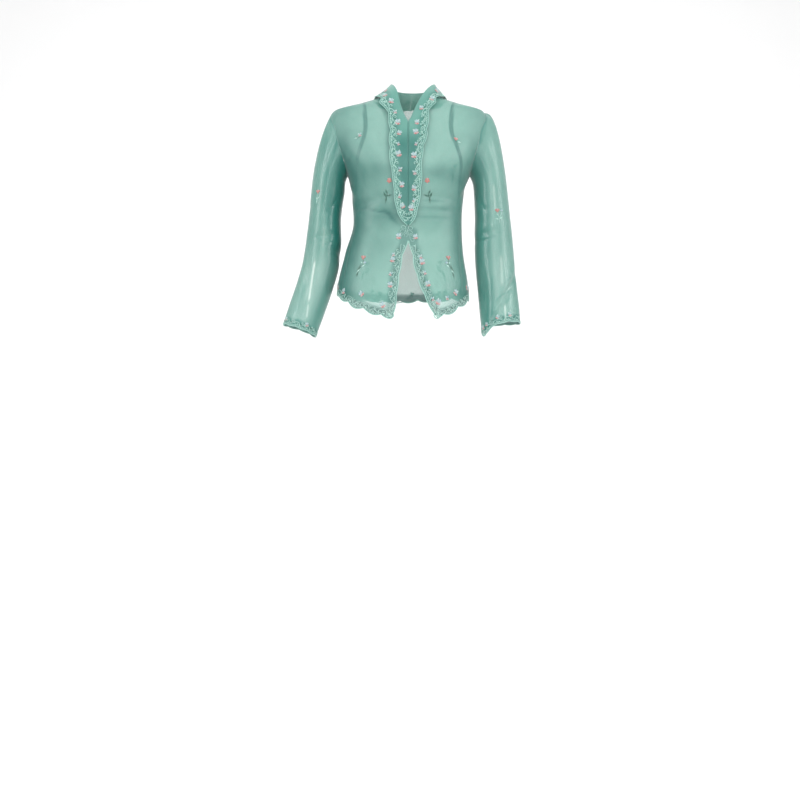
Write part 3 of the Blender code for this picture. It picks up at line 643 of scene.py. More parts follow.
# %% Build the weave as a node group
weave_group, weave_in, weave_out = node_group(
    "organza_weave",
    [("Cloth", "NodeSocketVector", None), ("Yarns a metre", "NodeSocketFloat", 3000.0),
     ("Slub", "NodeSocketFloat", 0.5)],
    [("Height", "NodeSocketFloat"), ("Yarn", "NodeSocketFloat"), ("Cloud", "NodeSocketFloat")],
)
apart = node(weave_group, "ShaderNodeSeparateXYZ", {0: weave_in.outputs["Cloth"]})
turns = maths(weave_group, "MULTIPLY", weave_in.outputs["Yarns a metre"], 2 * math.pi)
warp = maths(weave_group, "SINE", maths(weave_group, "MULTIPLY", apart.outputs["X"], turns))
weft = maths(weave_group, "SINE", maths(weave_group, "MULTIPLY", apart.outputs["Y"], turns))
crossing = maths(weave_group, "MULTIPLY", warp, weft)
warp_height, weft_height = maths(weave_group, "ABSOLUTE", warp), maths(weave_group, "ABSOLUTE", weft)
higher = maths(weave_group, "MAXIMUM", warp_height, weft_height)
streaks = node(
    weave_group, "ShaderNodeMapping", {"Vector": weave_in.outputs["Cloth"], "Scale": (60.0, 900.0, 1.0)}
)
slub = node(weave_group, "ShaderNodeTexNoise", {"Vector": streaks.outputs[0], "Scale": 1.0, "Detail": 2.0})
slub_share = maths(weave_group, "MULTIPLY", slub.outputs[0], weave_in.outputs["Slub"])
height = maths(weave_group, "ADD", maths(weave_group, "ADD", higher, crossing), slub_share)
cloud = node(
    weave_group, "ShaderNodeTexNoise", {"Vector": weave_in.outputs["Cloth"], "Scale": 22.0, "Detail": 3.0}
)
weave_group.links.new(height, weave_out.inputs["Height"])
weave_group.links.new(higher, weave_out.inputs["Yarn"])
weave_group.links.new(cloud.outputs[0], weave_out.inputs["Cloud"])
print("weave nodes:", len(weave_group.nodes))

# %% Dye three organzas
YARNS_A_METRE = 1500.0
YARN_RELIEF = 0.00004
YARN_MIDDLE = 0.8
YARN_SHOWS = 0.25
CLOUDINESS = 0.35
DEPTH_CURVE = 0.62
# Colour of the painted highlights, where a sharp fold on the sleeves would catch the light
PAINTED_HIGHLIGHT_COLOUR = srgb(206, 230, 220)


def organza(name, light, deep, opacity, roughness, sheen):
    """light and deep are the colours of single cloth and of doubled cloth or painted shade, opacity the same
    for how much it hides.
    """
    material = bpy.data.materials.new(name)
    material.use_nodes = True
    tree = material.node_tree
    shader = tree.nodes["Principled BSDF"]
    cloth_map = node(tree, "ShaderNodeUVMap", uv_map="cloth")
    # The depth attribute holds doubled cloth and painted shade, and below nought a painted highlight.
    stored = node(tree, "ShaderNodeAttribute", attribute_name="depth").outputs["Fac"]
    depth = maths(tree, "POWER", maths(tree, "MAXIMUM", stored, 0.0), DEPTH_CURVE)
    painted_highlight = maths(tree, "MAXIMUM", maths(tree, "MULTIPLY", stored, -1.0), 0.0)
    weave = place_group(tree, weave_group, {"Cloth": cloth_map.outputs[0], "Yarns a metre": YARNS_A_METRE})
    cloudy = maths(tree, "MULTIPLY", maths(tree, "SUBTRACT", weave.outputs["Cloud"], 0.5), CLOUDINESS)
    share = maths(tree, "ADD", depth, cloudy)
    colour = node(tree, "ShaderNodeMix", {0: share, 6: light, 7: deep}, data_type="RGBA", clamp_factor=True)
    thin = node(tree, "ShaderNodeMapRange", {"Value": depth, "To Min": opacity[0], "To Max": opacity[1]})
    yarns = maths(tree, "MULTIPLY", maths(tree, "SUBTRACT", weave.outputs["Yarn"], YARN_MIDDLE), YARN_SHOWS)
    bright = node(tree, "ShaderNodeMix", {0: painted_highlight, 6: colour.outputs[2], 7: PAINTED_HIGHLIGHT_COLOUR}, data_type="RGBA")
    tree.links.new(bright.outputs[2], shader.inputs["Base Color"])
    tree.links.new(maths(tree, "ADD", thin.outputs[0], yarns), shader.inputs["Alpha"])
    relief = {"Height": weave.outputs["Height"], "Strength": 0.25, "Distance": YARN_RELIEF}
    bump = node(tree, "ShaderNodeBump", relief)
    tree.links.new(bump.outputs[0], shader.inputs["Normal"])
    shader.inputs["Roughness"].default_value = roughness
    shader.inputs["Sheen Weight"].default_value = sheen
    shader.inputs["Sheen Roughness"].default_value = 0.4
    shader.inputs["Specular IOR Level"].default_value = 0.45
    return material


body_organza = organza("body_organza", srgb(110, 166, 152), srgb(38, 95, 88), (0.60, 0.93), 0.42, 0.12)
sleeve_organza = organza("sleeve_organza", srgb(110, 165, 151), srgb(20, 106, 96), (0.54, 0.92), 0.38, 0.12)
sleeve_shader = sleeve_organza.node_tree.nodes["Principled BSDF"]
sleeve_shader.inputs["Coat Weight"].default_value = 0.25
sleeve_shader.inputs["Coat Roughness"].default_value = 0.10
band_organza = organza("band_organza", srgb(112, 166, 153), srgb(46, 108, 99), (0.84, 0.95), 0.38, 0.20)
print("organzas: 3")

# %% [markdown]
# ## Making a piece of cloth
# A shell is a net of points in rows, each row a few millimetres from the last. One helper turns such a net
# into a mesh. It measures its UV map along the cloth in metres, joins points that fall together, and
# turns all faces outwards. The cloth has no thickness here: organza is a tenth of a millimetre thick, and
# a second wall would make it look twice as dense as it is.

# %% Helpers for nets of points
CLOTH_BODY = "root"


def finish_piece(name, mesh, material):
    piece = bpy.data.objects.new(name, mesh)
    bpy.context.scene.collection.objects.link(piece)
    for one in material if isinstance(material, (list, tuple)) else (material,):
        mesh.materials.append(one)
    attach(piece, CLOTH_BODY)
    return piece


def net_faces(rows, columns, closed=False):
    """The four corners of each face in a net, and the corners' rows and columns without wrapping."""
    last = columns if closed else columns - 1
    row, column = np.meshgrid(np.arange(rows - 1), np.arange(last), indexing="ij")
    row, column = row.ravel(), column.ravel()
    corner_rows = np.stack([row, row, row + 1, row + 1], axis=1)
    corner_columns = np.stack([column, column + 1, column + 1, column], axis=1)
    return corner_rows, corner_columns


def cloth_shell(name, points, outward, depth, material, closed=False):
    """A shell from rows of points, rows x columns x 3, with the way outwards at each."""
    rows, columns = points.shape[:2]
    corner_rows, corner_columns = net_faces(rows, columns, closed)
    faces = corner_rows * columns + corner_columns % columns
    flat_points, flat_out = points.reshape(-1, 3), outward.reshape(-1, 3)
    ring = np.concatenate([points, points[:, :1]], axis=1)
    across = np.cumsum(np.linalg.norm(np.diff(ring, axis=1), axis=2), axis=1)
    across = np.concatenate([np.zeros((rows, 1)), across], axis=1)
    across -= across[:, columns // 2, None]
    down = np.cumsum(np.linalg.norm(np.diff(points, axis=0), axis=2), axis=0)
    down = np.concatenate([np.zeros((1, columns)), down])
    down = np.concatenate([down, down[:, :1]], axis=1)
    first, second, _, fourth = (flat_points[faces[:, corner]] for corner in range(4))
    inside_out = (np.cross(second - first, fourth - first) * flat_out[faces[:, 0]]).sum() < 0
    if inside_out:
        faces, corner_rows, corner_columns = faces[:, ::-1], corner_rows[:, ::-1], corner_columns[:, ::-1]
    mesh = bpy.data.meshes.new(name)
    mesh.from_pydata(flat_points.tolist(), [], faces.tolist())
    cloth_map = mesh.uv_layers.new(name="cloth")
    places = np.stack([across[corner_rows, corner_columns], down[corner_rows, corner_columns]], axis=-1)
    cloth_map.data.foreach_set("uv", places.ravel())
    mesh.attributes.new("depth", "FLOAT", "POINT").data.foreach_set("value", depth.ravel())
    tidy = bmesh.new()
    tidy.from_mesh(mesh)
    bmesh.ops.remove_doubles(tidy, verts=tidy.verts, dist=2e-5)
    bmesh.ops.dissolve_degenerate(tidy, dist=1e-6, edges=tidy.edges)
    tidy.to_mesh(mesh)
    tidy.free()
    mesh.shade_smooth()
    return finish_piece(name, mesh, material)


def cloth_area(piece):
    return sum(face.area for face in piece.data.polygons)


print("cloth rides on:", CLOTH_BODY)

# %% [markdown]
# ## Fronts and back
# Each body shell runs from its scalloped hem to the neck. Its rows are close together where the shape
# turns fast, at the armhole and over the shoulder. Its depth is highest in two narrow bands beside each
# seam, where a maker's turned allowances lie behind the cloth, and along the embroidered edge. Painted
# shade adds to it towards the sides, which turn away and are seen through at a slant, in the folds at the
# waist, and beside the turned bands, where their shadow would fall on the front.

# %% Rows of a body shell
ROW_STEP = 0.0042
ARMHOLE_ROWS = 44
HEM_ROWS = 44
CLOSING = 1e-3


def upper_rows():
    """Row heights above the parted hem, evenly spaced along the cloth."""
    fine = np.linspace(SHOULDER_TIP, NECK_TOP, 400)
    profile = body_point(np.full(400, HALF_TURN / 2), fine)
    along = np.concatenate([[0], np.cumsum(np.linalg.norm(np.diff(profile, axis=0), axis=1))])
    count = int(along[-1] / ROW_STEP)
    shoulder = np.interp(np.linspace(0, along[-1], count + 1)[1:], along, fine)
    waist = np.linspace(OPENING_TOP, UNDERARM, round((UNDERARM - OPENING_TOP) / ROW_STEP))[:-1]
    armhole = ARMHOLE_MIDDLE - ARMHOLE_RISE * np.cos(np.linspace(0, HALF_TURN, ARMHOLE_ROWS))
    tip = BUST_SEAM[-1][0]
    return np.sort(np.concatenate([waist, armhole, shoulder, [tip - 2e-4]]))


def corner_rise(side, angle, height):
    """The front's lower corner is rounded."""
    inset = (angle - front_edge_angle(side, height)) * ring_half(height)
    inside = np.clip(CORNER_RADIUS - inset, 0, CORNER_RADIUS)
    return CORNER_RADIUS - np.sqrt(CORNER_RADIUS**2 - inside**2)


def body_net(side, inner, outer, columns, rounded):
    """Angles and heights of a body panel between two cut edges."""
    across = np.linspace(0, 1, columns)
    if rounded:
        across = across**1.25
    rows = []
    for share in np.linspace(0, 1, HEM_ROWS)[:-1]:
        height = np.full(columns, OPENING_TOP - 0.1)
        for _ in range(8):
            angle = inner(height) + (outer(height) - inner(height)) * across
            bottom = scalloped_hem(side, angle)
            if rounded:
                bottom = bottom + corner_rise(side, angle, bottom)
            height = (1 - share) * bottom + share * OPENING_TOP
        rows.append((angle, height))
    for level in upper_rows():
        height = np.full(columns, level)
        start, end = inner(height), outer(height)
        if end[0] - start[0] < CLOSING:
            rows.append((end, height))
            break
        rows.append((start + (end - start) * across, height))
    return np.array([row[0] for row in rows]), np.array([row[1] for row in rows])


print("rows above the parting:", len(upper_rows()))

# %% Tables of the deeper cloth and of painted shade
SEAM_BAND = 0.0042
SEAM_EDGE = 0.0016


def seam_depth(distance):
    """Denser cloth beside a seam: 1 on the allowance, 0 past it."""
    return 1 - smooth_step(distance, SEAM_BAND, SEAM_BAND + SEAM_EDGE)


# angle in degrees, depth of painted shade. Both sides turn away, the right one under more folds.
SIDE_SHADE = (
    (-180, 0.06), (-130, 0.26), (-95, 0.66), (-62, 0.92), (-48, 0.70), (-34, 0.16), (-18, 0.04), (0, 0.04),
    (30, 0.02), (42, 0.22), (58, 0.58), (75, 0.68), (95, 0.58), (130, 0.24), (180, 0.06),
)
# Painted shade in folds, and in places that fall away from the light: angle, height, half length, half width,
# depth, tilt
SHADED_PLACES = (
    (25, -0.2785, 0.030, 0.0018, 0.42, 0), (29, -0.295, 0.042, 0.0018, 0.36, 1),
    (24, -0.3165, 0.038, 0.0018, 0.44, 1), (-30, -0.304, 0.030, 0.0022, 0.50, -13),
    (-14, -0.326, 0.028, 0.0022, 0.46, -44), (-52, -0.292, 0.028, 0.0022, 0.40, 4),
    (-34, -0.212, 0.062, 0.030, 0.50, 4), (34, -0.216, 0.062, 0.020, 0.48, -3),
    (-50, -0.152, 0.034, 0.040, 0.42, 10), (-17, -0.316, 0.032, 0.011, 0.36, -44),
    (-22, -0.312, 0.058, 0.026, 0.48, 10), (-30, -0.268, 0.050, 0.030, 0.30, 0),
    (30, -0.314, 0.075, 0.030, 0.26, 2), (34, -0.262, 0.060, 0.022, 0.18, 0),
    (-26, -0.385, 0.050, 0.050, 0.28, 0), (-58, -0.390, 0.030, 0.060, 0.20, 0),
    (150, -0.300, 0.080, 0.030, 0.22, 0), (-150, -0.290, 0.080, 0.030, 0.24, 0),
)
# The painted side shade is weaker on the yoke, and this is where that begins and is full.
YOKE_LIGHT, YOKE_FROM, YOKE_FULL = 0.55, -0.150, -0.080
SEAM_DEPTH = 0.66
# Painted shade under the bust makes the seams deeper still, between these heights.
LOW_SEAM_SHADE = 0.55
LOW_SEAM_FROM, LOW_SEAM_FULL, LOW_SEAM_FADES, LOW_SEAM_END = -0.290, -0.240, -0.180, -0.140
EDGE_BORDER_DEPTH = 0.62
HEM_BORDER_DEPTH = 0.85
BORDER_WIDTH, BORDER_END = 0.017, 0.029
# How far above the parting the parted edges' border begins to fade and is gone
BORDER_FADES, BORDER_STOPS = 0.030, 0.050
# The turned band shades the front beside it, more on the right side.
BAND_SHADE = {-1: 0.50, 1: 0.24}
BAND_SHADE_REACH = 0.0065
BAND_SHADE_TOP = -0.010
print("deeper places:", len(SHADED_PLACES))


# %% How deep the cloth's colour is
def band_shade(side, angle, height, half):
    edge_angle, edge_height = band_lines(side, np.linspace(0, BAND_END, 120))[1]
    front = edge_height < -0.015
    order = np.argsort(edge_height[front])
    edge = np.interp(height, edge_height[front][order], edge_angle[front][order])
    beyond = np.maximum((angle - edge) * half, 0)
    tip = edge_height.min()
    beside_it = smooth_step(height, tip - 0.004, tip + 0.006) * (height < BAND_SHADE_TOP)
    return BAND_SHADE[side] * np.exp(-((beyond / BAND_SHADE_REACH) ** 2)) * beside_it


# Depth here is partly doubled cloth, at the seams and borders, and partly painted shade: at the sides, in
# folds, under the bust and beside the bands.
def body_depth_and_shade(side, angle, height, seams):
    half = ring_half(height)
    signed = (side * angle + HALF_TURN) % (2 * HALF_TURN) - HALF_TURN
    depth = read_table(SIDE_SHADE, np.degrees(signed))[:, 0]
    depth = depth * (1 - YOKE_LIGHT * smooth_step(height, YOKE_FROM, YOKE_FULL))
    depth = depth + crease_depth(SHADED_PLACES, signed, height, half) * (1 - depth)
    shade = np.where(np.abs(signed) < HALF_TURN / 3, band_shade(side, np.abs(signed), height, half), 0.0)
    depth = depth + shade * (1 - depth)
    below_bust = smooth_step(height, LOW_SEAM_FROM, LOW_SEAM_FULL)
    below_bust = below_bust * (1 - smooth_step(height, LOW_SEAM_FADES, LOW_SEAM_END))
    for seam in seams:
        near = seam_depth(np.abs(angle - seam(height)) * half)
        depth = np.maximum(depth, SEAM_DEPTH * near)
        depth = depth + LOW_SEAM_SHADE * near * below_bust * (1 - depth)
    to_hem = height - hem_height(side, angle)
    from_edge = (np.abs(signed) - front_edge_angle(side, height)) * half
    on_front = np.where(np.abs(signed) < HALF_TURN / 2, from_edge, 1.0)
    to_edge = on_front + 0.03 * smooth_step(height, OPENING_TOP + BORDER_FADES, OPENING_TOP + BORDER_STOPS)
    for distance, deepest in ((to_hem, HEM_BORDER_DEPTH), (to_edge, EDGE_BORDER_DEPTH)):
        depth = np.maximum(depth, deepest * (1 - smooth_step(distance, BORDER_WIDTH, BORDER_END)))
    return depth


side_place = np.array([HALF_TURN / 2]), np.array([BODY_RINGS[3][0]])
print("depth at the side of the waist:", np.round(body_depth_and_shade(1, *side_place, []), 2))

# %% Build a body shell
SHELL_INSET = 0.0002


def body_shell(name, side, inner, outer, columns, seams, rounded=False):
    angle, height = body_net(side, inner, outer, columns, rounded)
    shape = angle.shape
    flat_angle, flat_height = angle.ravel(), height.ravel()
    out = body_out(side * flat_angle, flat_height)
    points = body_point(side * flat_angle, flat_height) - out * SHELL_INSET
    depth = body_depth_and_shade(side, flat_angle, flat_height, seams)
    piece = cloth_shell(
        name, points.reshape(*shape, 3), out.reshape(*shape, 3), depth, body_organza
    )
    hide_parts(name.replace("cloth_", ""))
    return piece


print("shells lie", SHELL_INSET, "m inside the solids' outer face")

# %% Cut the fronts and the back
SEAM_HALF_GAP = 0.00012
CENTRE_COLUMNS, SIDE_COLUMNS, BACK_COLUMNS = 38, 30, 110


def beside(height):
    return SEAM_HALF_GAP / ring_half(height)


def side_seam(height):
    return np.full_like(height, HALF_TURN / 2)


def make_front_centre(side, word):
    def inner(height):
        foot = hem_height(side, front_edge_angle(side, height)) + CORNER_RADIUS
        notch = np.where(height < OPENING_TOP, scallop(height - foot, HEM_LOBE, FRONT_EDGE_NOTCH), 0.0)
        reached = front_edge_angle(side, height) + beside(height) + notch / ring_half(height)
        return np.minimum(reached, outer(height))

    def outer(height):
        return np.minimum(bust_seam_angle(height), HALF_TURN / 2) - beside(height)

    name = "cloth_front_centre_" + word
    return body_shell(name, side, inner, outer, CENTRE_COLUMNS, [bust_seam_angle], rounded=True)


def make_front_side(side, word):
    def inner(height):
        return bust_seam_angle(height) + beside(height)

    def outer(height):
        in_armhole = (height > UNDERARM) & (height < SHOULDER_TIP)
        plain = side_seam(height) - beside(height)
        return np.where(in_armhole, np.minimum(armhole_angle(height, False), plain), plain)

    seams = [bust_seam_angle, side_seam]
    return body_shell("cloth_front_side_" + word, side, inner, outer, SIDE_COLUMNS, seams)


def make_back():
    def inner(height):
        in_armhole = (height > UNDERARM) & (height < SHOULDER_TIP)
        plain = side_seam(height) + beside(height)
        return np.where(in_armhole, np.maximum(armhole_angle(height, True), plain), plain)

    def outer(height):
        return 2 * HALF_TURN - inner(height)

    def other_side(height):
        return 2 * HALF_TURN - side_seam(height)

    return body_shell("cloth_back", 1, inner, outer, BACK_COLUMNS, [side_seam, other_side])


back_cloth = make_back()
front_centres = {side: make_front_centre(side, word) for side, word in ((-1, "right"), (1, "left"))}
front_sides = {side: make_front_side(side, word) for side, word in ((-1, "right"), (1, "left"))}
for piece in (back_cloth, *front_centres.values(), *front_sides.values()):
    print(piece.name, len(piece.data.polygons), "faces,", round(cloth_area(piece), 4), "m2")

# %% [markdown]
# ## Sleeves
# A set-in sleeve is a flat piece with a curved head, sewn into a tube and then into the armhole. The shell
# leaves the armhole in a smooth curve that ends in the straight tube at the bicep. The left head was
# gathered a little more than the right, so it stands in a low puff with short ripples that die away
# within a hand's width. Creases at the elbows come from the table above.

# %% Tables of the sleeves' colour
# side: painted shade outside and inside, what the upper arm adds to both, and where the inside begins and is
# full.
# The inner halves, next to the body, are in shade.
SLEEVE_SHADE = {-1: (0.08, 0.56, 0.28, 0.20, 0.22, 0.62), 1: (0.13, 0.62, 0.12, 0.00, 0.10, 0.45)}
# Painted highlights where sharp folds would gleam down the front of the sleeves: x and z of both ends, half
# width, strength
PAINTED_HIGHLIGHTS = (
    (-0.2325, -0.418, -0.2470, -0.525, 0.0024, 1.0), (-0.2475, -0.530, -0.2510, -0.565, 0.0022, 0.5),
    (0.2320, -0.405, 0.2345, -0.485, 0.0045, 0.35), (0.2400, -0.530, 0.2415, -0.585, 0.0024, 0.8),
    (0.2120, -0.225, 0.2190, -0.300, 0.0040, 0.35), (-0.2080, -0.330, -0.2140, -0.390, 0.0035, 0.35),
)
# Painted shade: crisp dark lines beside those folds, and broad shades on the inner halves, in the same
# columns
PAINTED_SHADE_LINES = (
    (0.2094, -0.455, 0.2051, -0.527, 0.0022, 0.60), (0.1825, -0.487, 0.1925, -0.516, 0.0020, 0.45),
    (0.2146, -0.5244, 0.2330, -0.5050, 0.0020, 0.60), (0.2310, -0.5065, 0.2570, -0.4944, 0.0020, 0.50),
    (0.2424, -0.5234, 0.2570, -0.5120, 0.0020, 0.45), (0.2386, -0.4800, 0.2600, -0.4540, 0.0022, 0.35),
    (0.2040, -0.535, 0.2020, -0.605, 0.0080, 0.45), (-0.2560, -0.470, -0.2830, -0.560, 0.0060, 0.35),
    (-0.1775, -0.115, -0.1945, -0.250, 0.0120, 0.58), (-0.2020, -0.105, -0.2010, -0.270, 0.0120, 0.44),
    (-0.2005, -0.180, -0.1970, -0.350, 0.0125, 0.72),
)


def strokes(points, table):
    """How strongly each point of a sleeve's front lies on the strokes of a table."""
    shown = np.zeros(points.shape[:2])
    for x_from, z_from, x_to, z_to, half, strength in table:
        run = np.array([x_to - x_from, z_to - z_from])
        offset = points[..., [0, 2]] - (x_from, z_from)
        share = offset @ run / (run @ run)
        aside = (offset[..., 0] * run[1] - offset[..., 1] * run[0]) / np.linalg.norm(run)
        fade = smooth_step(share, -0.05, 0.15) * (1 - smooth_step(share, 0.85, 1.05))
        shown = np.maximum(shown, strength * fade * np.exp(-((aside / half) ** 2)))
    return shown * (points[..., 1] < points[..., 1].mean(axis=1, keepdims=True))


print("gleams:", len(PAINTED_HIGHLIGHTS), "dark strokes:", len(PAINTED_SHADE_LINES))

# %% Lay out the net of a sleeve
SLEEVE_COLUMNS = 144
CAP_NET_ROWS = 30
ARM_NET_ROWS = 130
GATHERS = {-1: 0.0005, 1: 0.0013}
GATHER_COUNT = 17
SEAM_GAP = 0.0003
CAP_END_PULL = 0.34


def cuff_lobes(side):
    """How many whole scallops go round the cuff."""
    around = HALF_TURN * (arm_sections(side)[-1, 4] + arm_sections(side)[-1, 5]) / 2
    return round(around / CUFF_LOBE)


def sleeve_net(side):
    turn = np.linspace(0, 2 * HALF_TURN, SLEEVE_COLUMNS + 1)[:-1]
    start = body_point(*armhole_place(side, turn))
    leaving, pull = sleeve_start(side, turn)
    start = start + leaving * SEAM_GAP
    end = arm_point(side, turn, np.zeros(SLEEVE_COLUMNS))
    down = unit(arm_point(side, turn, np.full(SLEEVE_COLUMNS, 0.002)) - end)
    reach = np.linalg.norm(end - start, axis=1, keepdims=True)
    near_start, near_end = start + leaving * pull * reach, end - down * CAP_END_PULL * reach
    top = ((1 + np.cos(turn)) / 2)[:, None] ** 2
    rows = []
    for share in np.linspace(0, 1, CAP_NET_ROWS):
        rest = 1 - share
        ring = rest**3 * start + 3 * rest**2 * share * near_start
        ring = ring + 3 * rest * share**2 * near_end + share**3 * end
        ripple = GATHERS[side] * np.sin(GATHER_COUNT * turn + 2.3 * np.sin(3 * turn))[:, None]
        fade = smooth_step(np.array([share]), 0.02, 0.10) * (1 - smooth_step(np.array([share]), 0.10, 0.55))
        rows.append(ring + unit(ring - ring.mean(axis=0)) * ripple * top * fade)
    notch = scallop(turn * cuff_lobes(side) / (2 * HALF_TURN), 1.0, CUFF_NOTCH)
    for share in np.linspace(0, 1, ARM_NET_ROWS)[1:]:
        distance = share * arm_length(side) + share**3 * cuff_reach(side, turn) - share**14 * notch
        rows.append(arm_point(side, turn, distance))
    return np.array(rows), turn


for side in (-1, 1):
    print("scallops round a cuff:", cuff_lobes(side), "net:", sleeve_net(side)[0].shape)

# %% Make the two sleeves
# The upper arm is measured down from the armhole, and the border up from the cuff.
UPPER_ARM_FADES, UPPER_ARM_END = 0.24, 0.34
# The outermost strip of each sleeve, turned away and seen at a slant, gets painted shade, more below the
# upper arm.
OUTER_DEPTH, LOWER_OUTER_DEPTH = 0.12, 0.30
CAP_SEAM_DEPTH, UNDER_SEAM_DEPTH = 0.72, 0.95
CUFF_DEPTH, CUFF_BORDER, CUFF_BORDER_END = 0.80, 0.014, 0.026


def make_sleeve(side, word):
    points, turn = sleeve_net(side)
    down = np.gradient(points, axis=0)
    round_it = np.roll(points, -1, axis=1) - np.roll(points, 1, axis=1)
    out = unit(np.cross(down, round_it))
    middle = points.mean(axis=1, keepdims=True)
    out = np.where((out * (points - middle)).sum(-1, keepdims=True) < 0, -out, out)
    from_top = np.linalg.norm(points - points[:1], axis=2)
    to_cuff = np.linalg.norm(points - points[-1:], axis=2)
    light, dark, upper_light, upper_dark, edge_from, edge_to = SLEEVE_SHADE[side]
    upper = 1 - smooth_step(from_top.mean(axis=1), UPPER_ARM_FADES, UPPER_ARM_END)[:, None]
    inner = smooth_step(-np.cos(turn), edge_from, edge_to)[None]
    outer = OUTER_DEPTH + LOWER_OUTER_DEPTH * (1 - upper)
    outer = outer * smooth_step(np.cos(turn), 0.70, 1.0)[None]
    depth = light + upper_light * upper + outer + (dark - light + upper_dark * upper) * inner
    depth = np.maximum(depth, CAP_SEAM_DEPTH * seam_depth(from_top))
    depth = np.maximum(depth, CUFF_DEPTH * (1 - smooth_step(to_cuff, CUFF_BORDER, CUFF_BORDER_END)))
    under = np.linalg.norm(points - points[:, SLEEVE_COLUMNS // 2, None], axis=2)
    depth = np.clip(np.maximum(depth, UNDER_SEAM_DEPTH * seam_depth(under + 0.001)), 0, 1)
    depth = depth + strokes(points, PAINTED_SHADE_LINES) * (1 - depth)
    # Painted highlights lighten the colour, and are stored as depths below nought.
    painted_highlight = strokes(points, PAINTED_HIGHLIGHTS)
    depth = depth * (1 - painted_highlight) - painted_highlight
    points = points - out * SHELL_INSET
    name = "cloth_sleeve_" + word
    piece = cloth_shell(name, points, out, depth, sleeve_organza, closed=True)
    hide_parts("sleeve_" + word)
    return piece


sleeves = {side: make_sleeve(side, word) for side, word in ((-1, "right"), (1, "left"))}
for piece in sleeves.values():
    print(piece.name, len(piece.data.polygons), "faces,", round(cloth_area(piece), 4), "m2")

# %% [markdown]
# ## Turned bands
# The collar and lapel are one band, folded outwards along the neck and the front edge. It is the front's
# own cloth laid double, so it is deeper in colour and hides more. At the fold the cloth rolls over, which
# leaves a soft round edge, so the shell starts with a few rows that curl from the front's edge up to the
# fold. The line of shade where the two fronts meet is painted: those rows take full depth, and a dark
# cord runs along part of the fold.

# %% Make the two bands
BAND_STEPS = 190
BAND_ROWS = 18
ROLL_ROWS = 4
ROLL_DEPTH = 0.0016
# Depths of the band's middle and border, and how much less they are near the neck
BAND_MIDDLE_DEPTH, BAND_MIDDLE_LESS = 0.90, 0.62
BAND_BORDER_DEPTH, BAND_BORDER_LESS = 0.62, 0.06
BAND_PALE_FROM, BAND_PALE_FULL = -0.155, -0.095
# Shares of the width where the border begins and is full, and where the dark fold ends; the fold is doubled
# cloth with painted shade
BAND_BORDER_FROM, BAND_BORDER_FULL, FOLD_END = 0.40, 0.62, 0.07


def band_edge_share(side, step):
    """The outer line's place between the fold and the furthest line, with its scallops."""
    fine = np.linspace(0, BAND_END, 500)
    edge = band_point(side, fine, np.ones(500))
    along = np.concatenate([[0], np.cumsum(np.linalg.norm(np.diff(edge, axis=0), axis=1))])
    distance = np.interp(step, fine, along)
    deep = smooth_step(band_lines(side, step)[1][1], -0.200, -0.140)
    notch = scallop(distance, LAPEL_LOBE, LOW_LAPEL_NOTCH + (LAPEL_NOTCH - LOW_LAPEL_NOTCH) * deep)
    return 1 - np.minimum(notch / band_width(side, step), 0.1)


def band_out(side, step, share):
    fold, edge = band_lines(side, step)
    angle, height = fold + (edge - fold) * share
    return body_out(side * angle, height)


def make_band(side, word):
    step = np.linspace(0, BAND_END, BAND_STEPS)
    rows, outs, depths = [], [], []
    fold_out = band_out(side, step, 0 * step)
    fold = band_point(side, step, 0 * step)
    toward = unit(band_point(side, step, 0 * step + 0.1) - fold)
    # The roll rows take full depth: doubled cloth, with painted shade for the line where the fronts meet.
    for part in np.linspace(1, 0, ROLL_ROWS + 1)[:-1]:
        bend = part * HALF_TURN / 2
        sink = ROLL_DEPTH * math.sin(bend)
        rows.append(fold - fold_out * sink + toward * ROLL_DEPTH * 0.6 * (1 - math.cos(bend)))
        outs.append(unit(fold_out * math.cos(bend) - toward * math.sin(bend)))
        depths.append(np.ones(BAND_STEPS))
    last = band_edge_share(side, step)
    for part in np.linspace(0, 1, BAND_ROWS):
        rows.append(band_point(side, step, part * last))
        outs.append(band_out(side, step, part * last))
        upper = smooth_step(band_lines(side, step)[1][1], BAND_PALE_FROM, BAND_PALE_FULL)
        middle = BAND_MIDDLE_DEPTH - BAND_MIDDLE_LESS * upper
        border = BAND_BORDER_DEPTH - BAND_BORDER_LESS * upper
        edged = float(smooth_step(np.array([part]), BAND_BORDER_FROM, BAND_BORDER_FULL)[0])
        folded = 1 - float(smooth_step(np.array([part]), 0.0, FOLD_END)[0])
        depths.append(np.maximum(middle * (1 - edged) + border * edged, folded * (1 - upper)))
    points, outs, depths = np.array(rows), np.array(outs), np.array(depths)
    piece = cloth_shell("cloth_collar_" + word, points, outs, depths, band_organza)
    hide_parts("collar_" + word)
    return piece


bands = {side: make_band(side, word) for side, word in ((-1, "right"), (1, "left"))}
for piece in bands.values():
    print(piece.name, len(piece.data.polygons), "faces,", round(cloth_area(piece), 4), "m2")

# %% [markdown]
# ## Laying things on the cloth
# Every edge, vine and flower is drawn flat and then laid on its shell. Laying takes the two slopes of the
# surface at a place, works out how far to go along each for a step to the right or up, and lifts the
# result a little along the outward direction. So a flat drawing bends with the body, as real stitches do.

# %% Surfaces that take embroidery
RISE = 0.0003


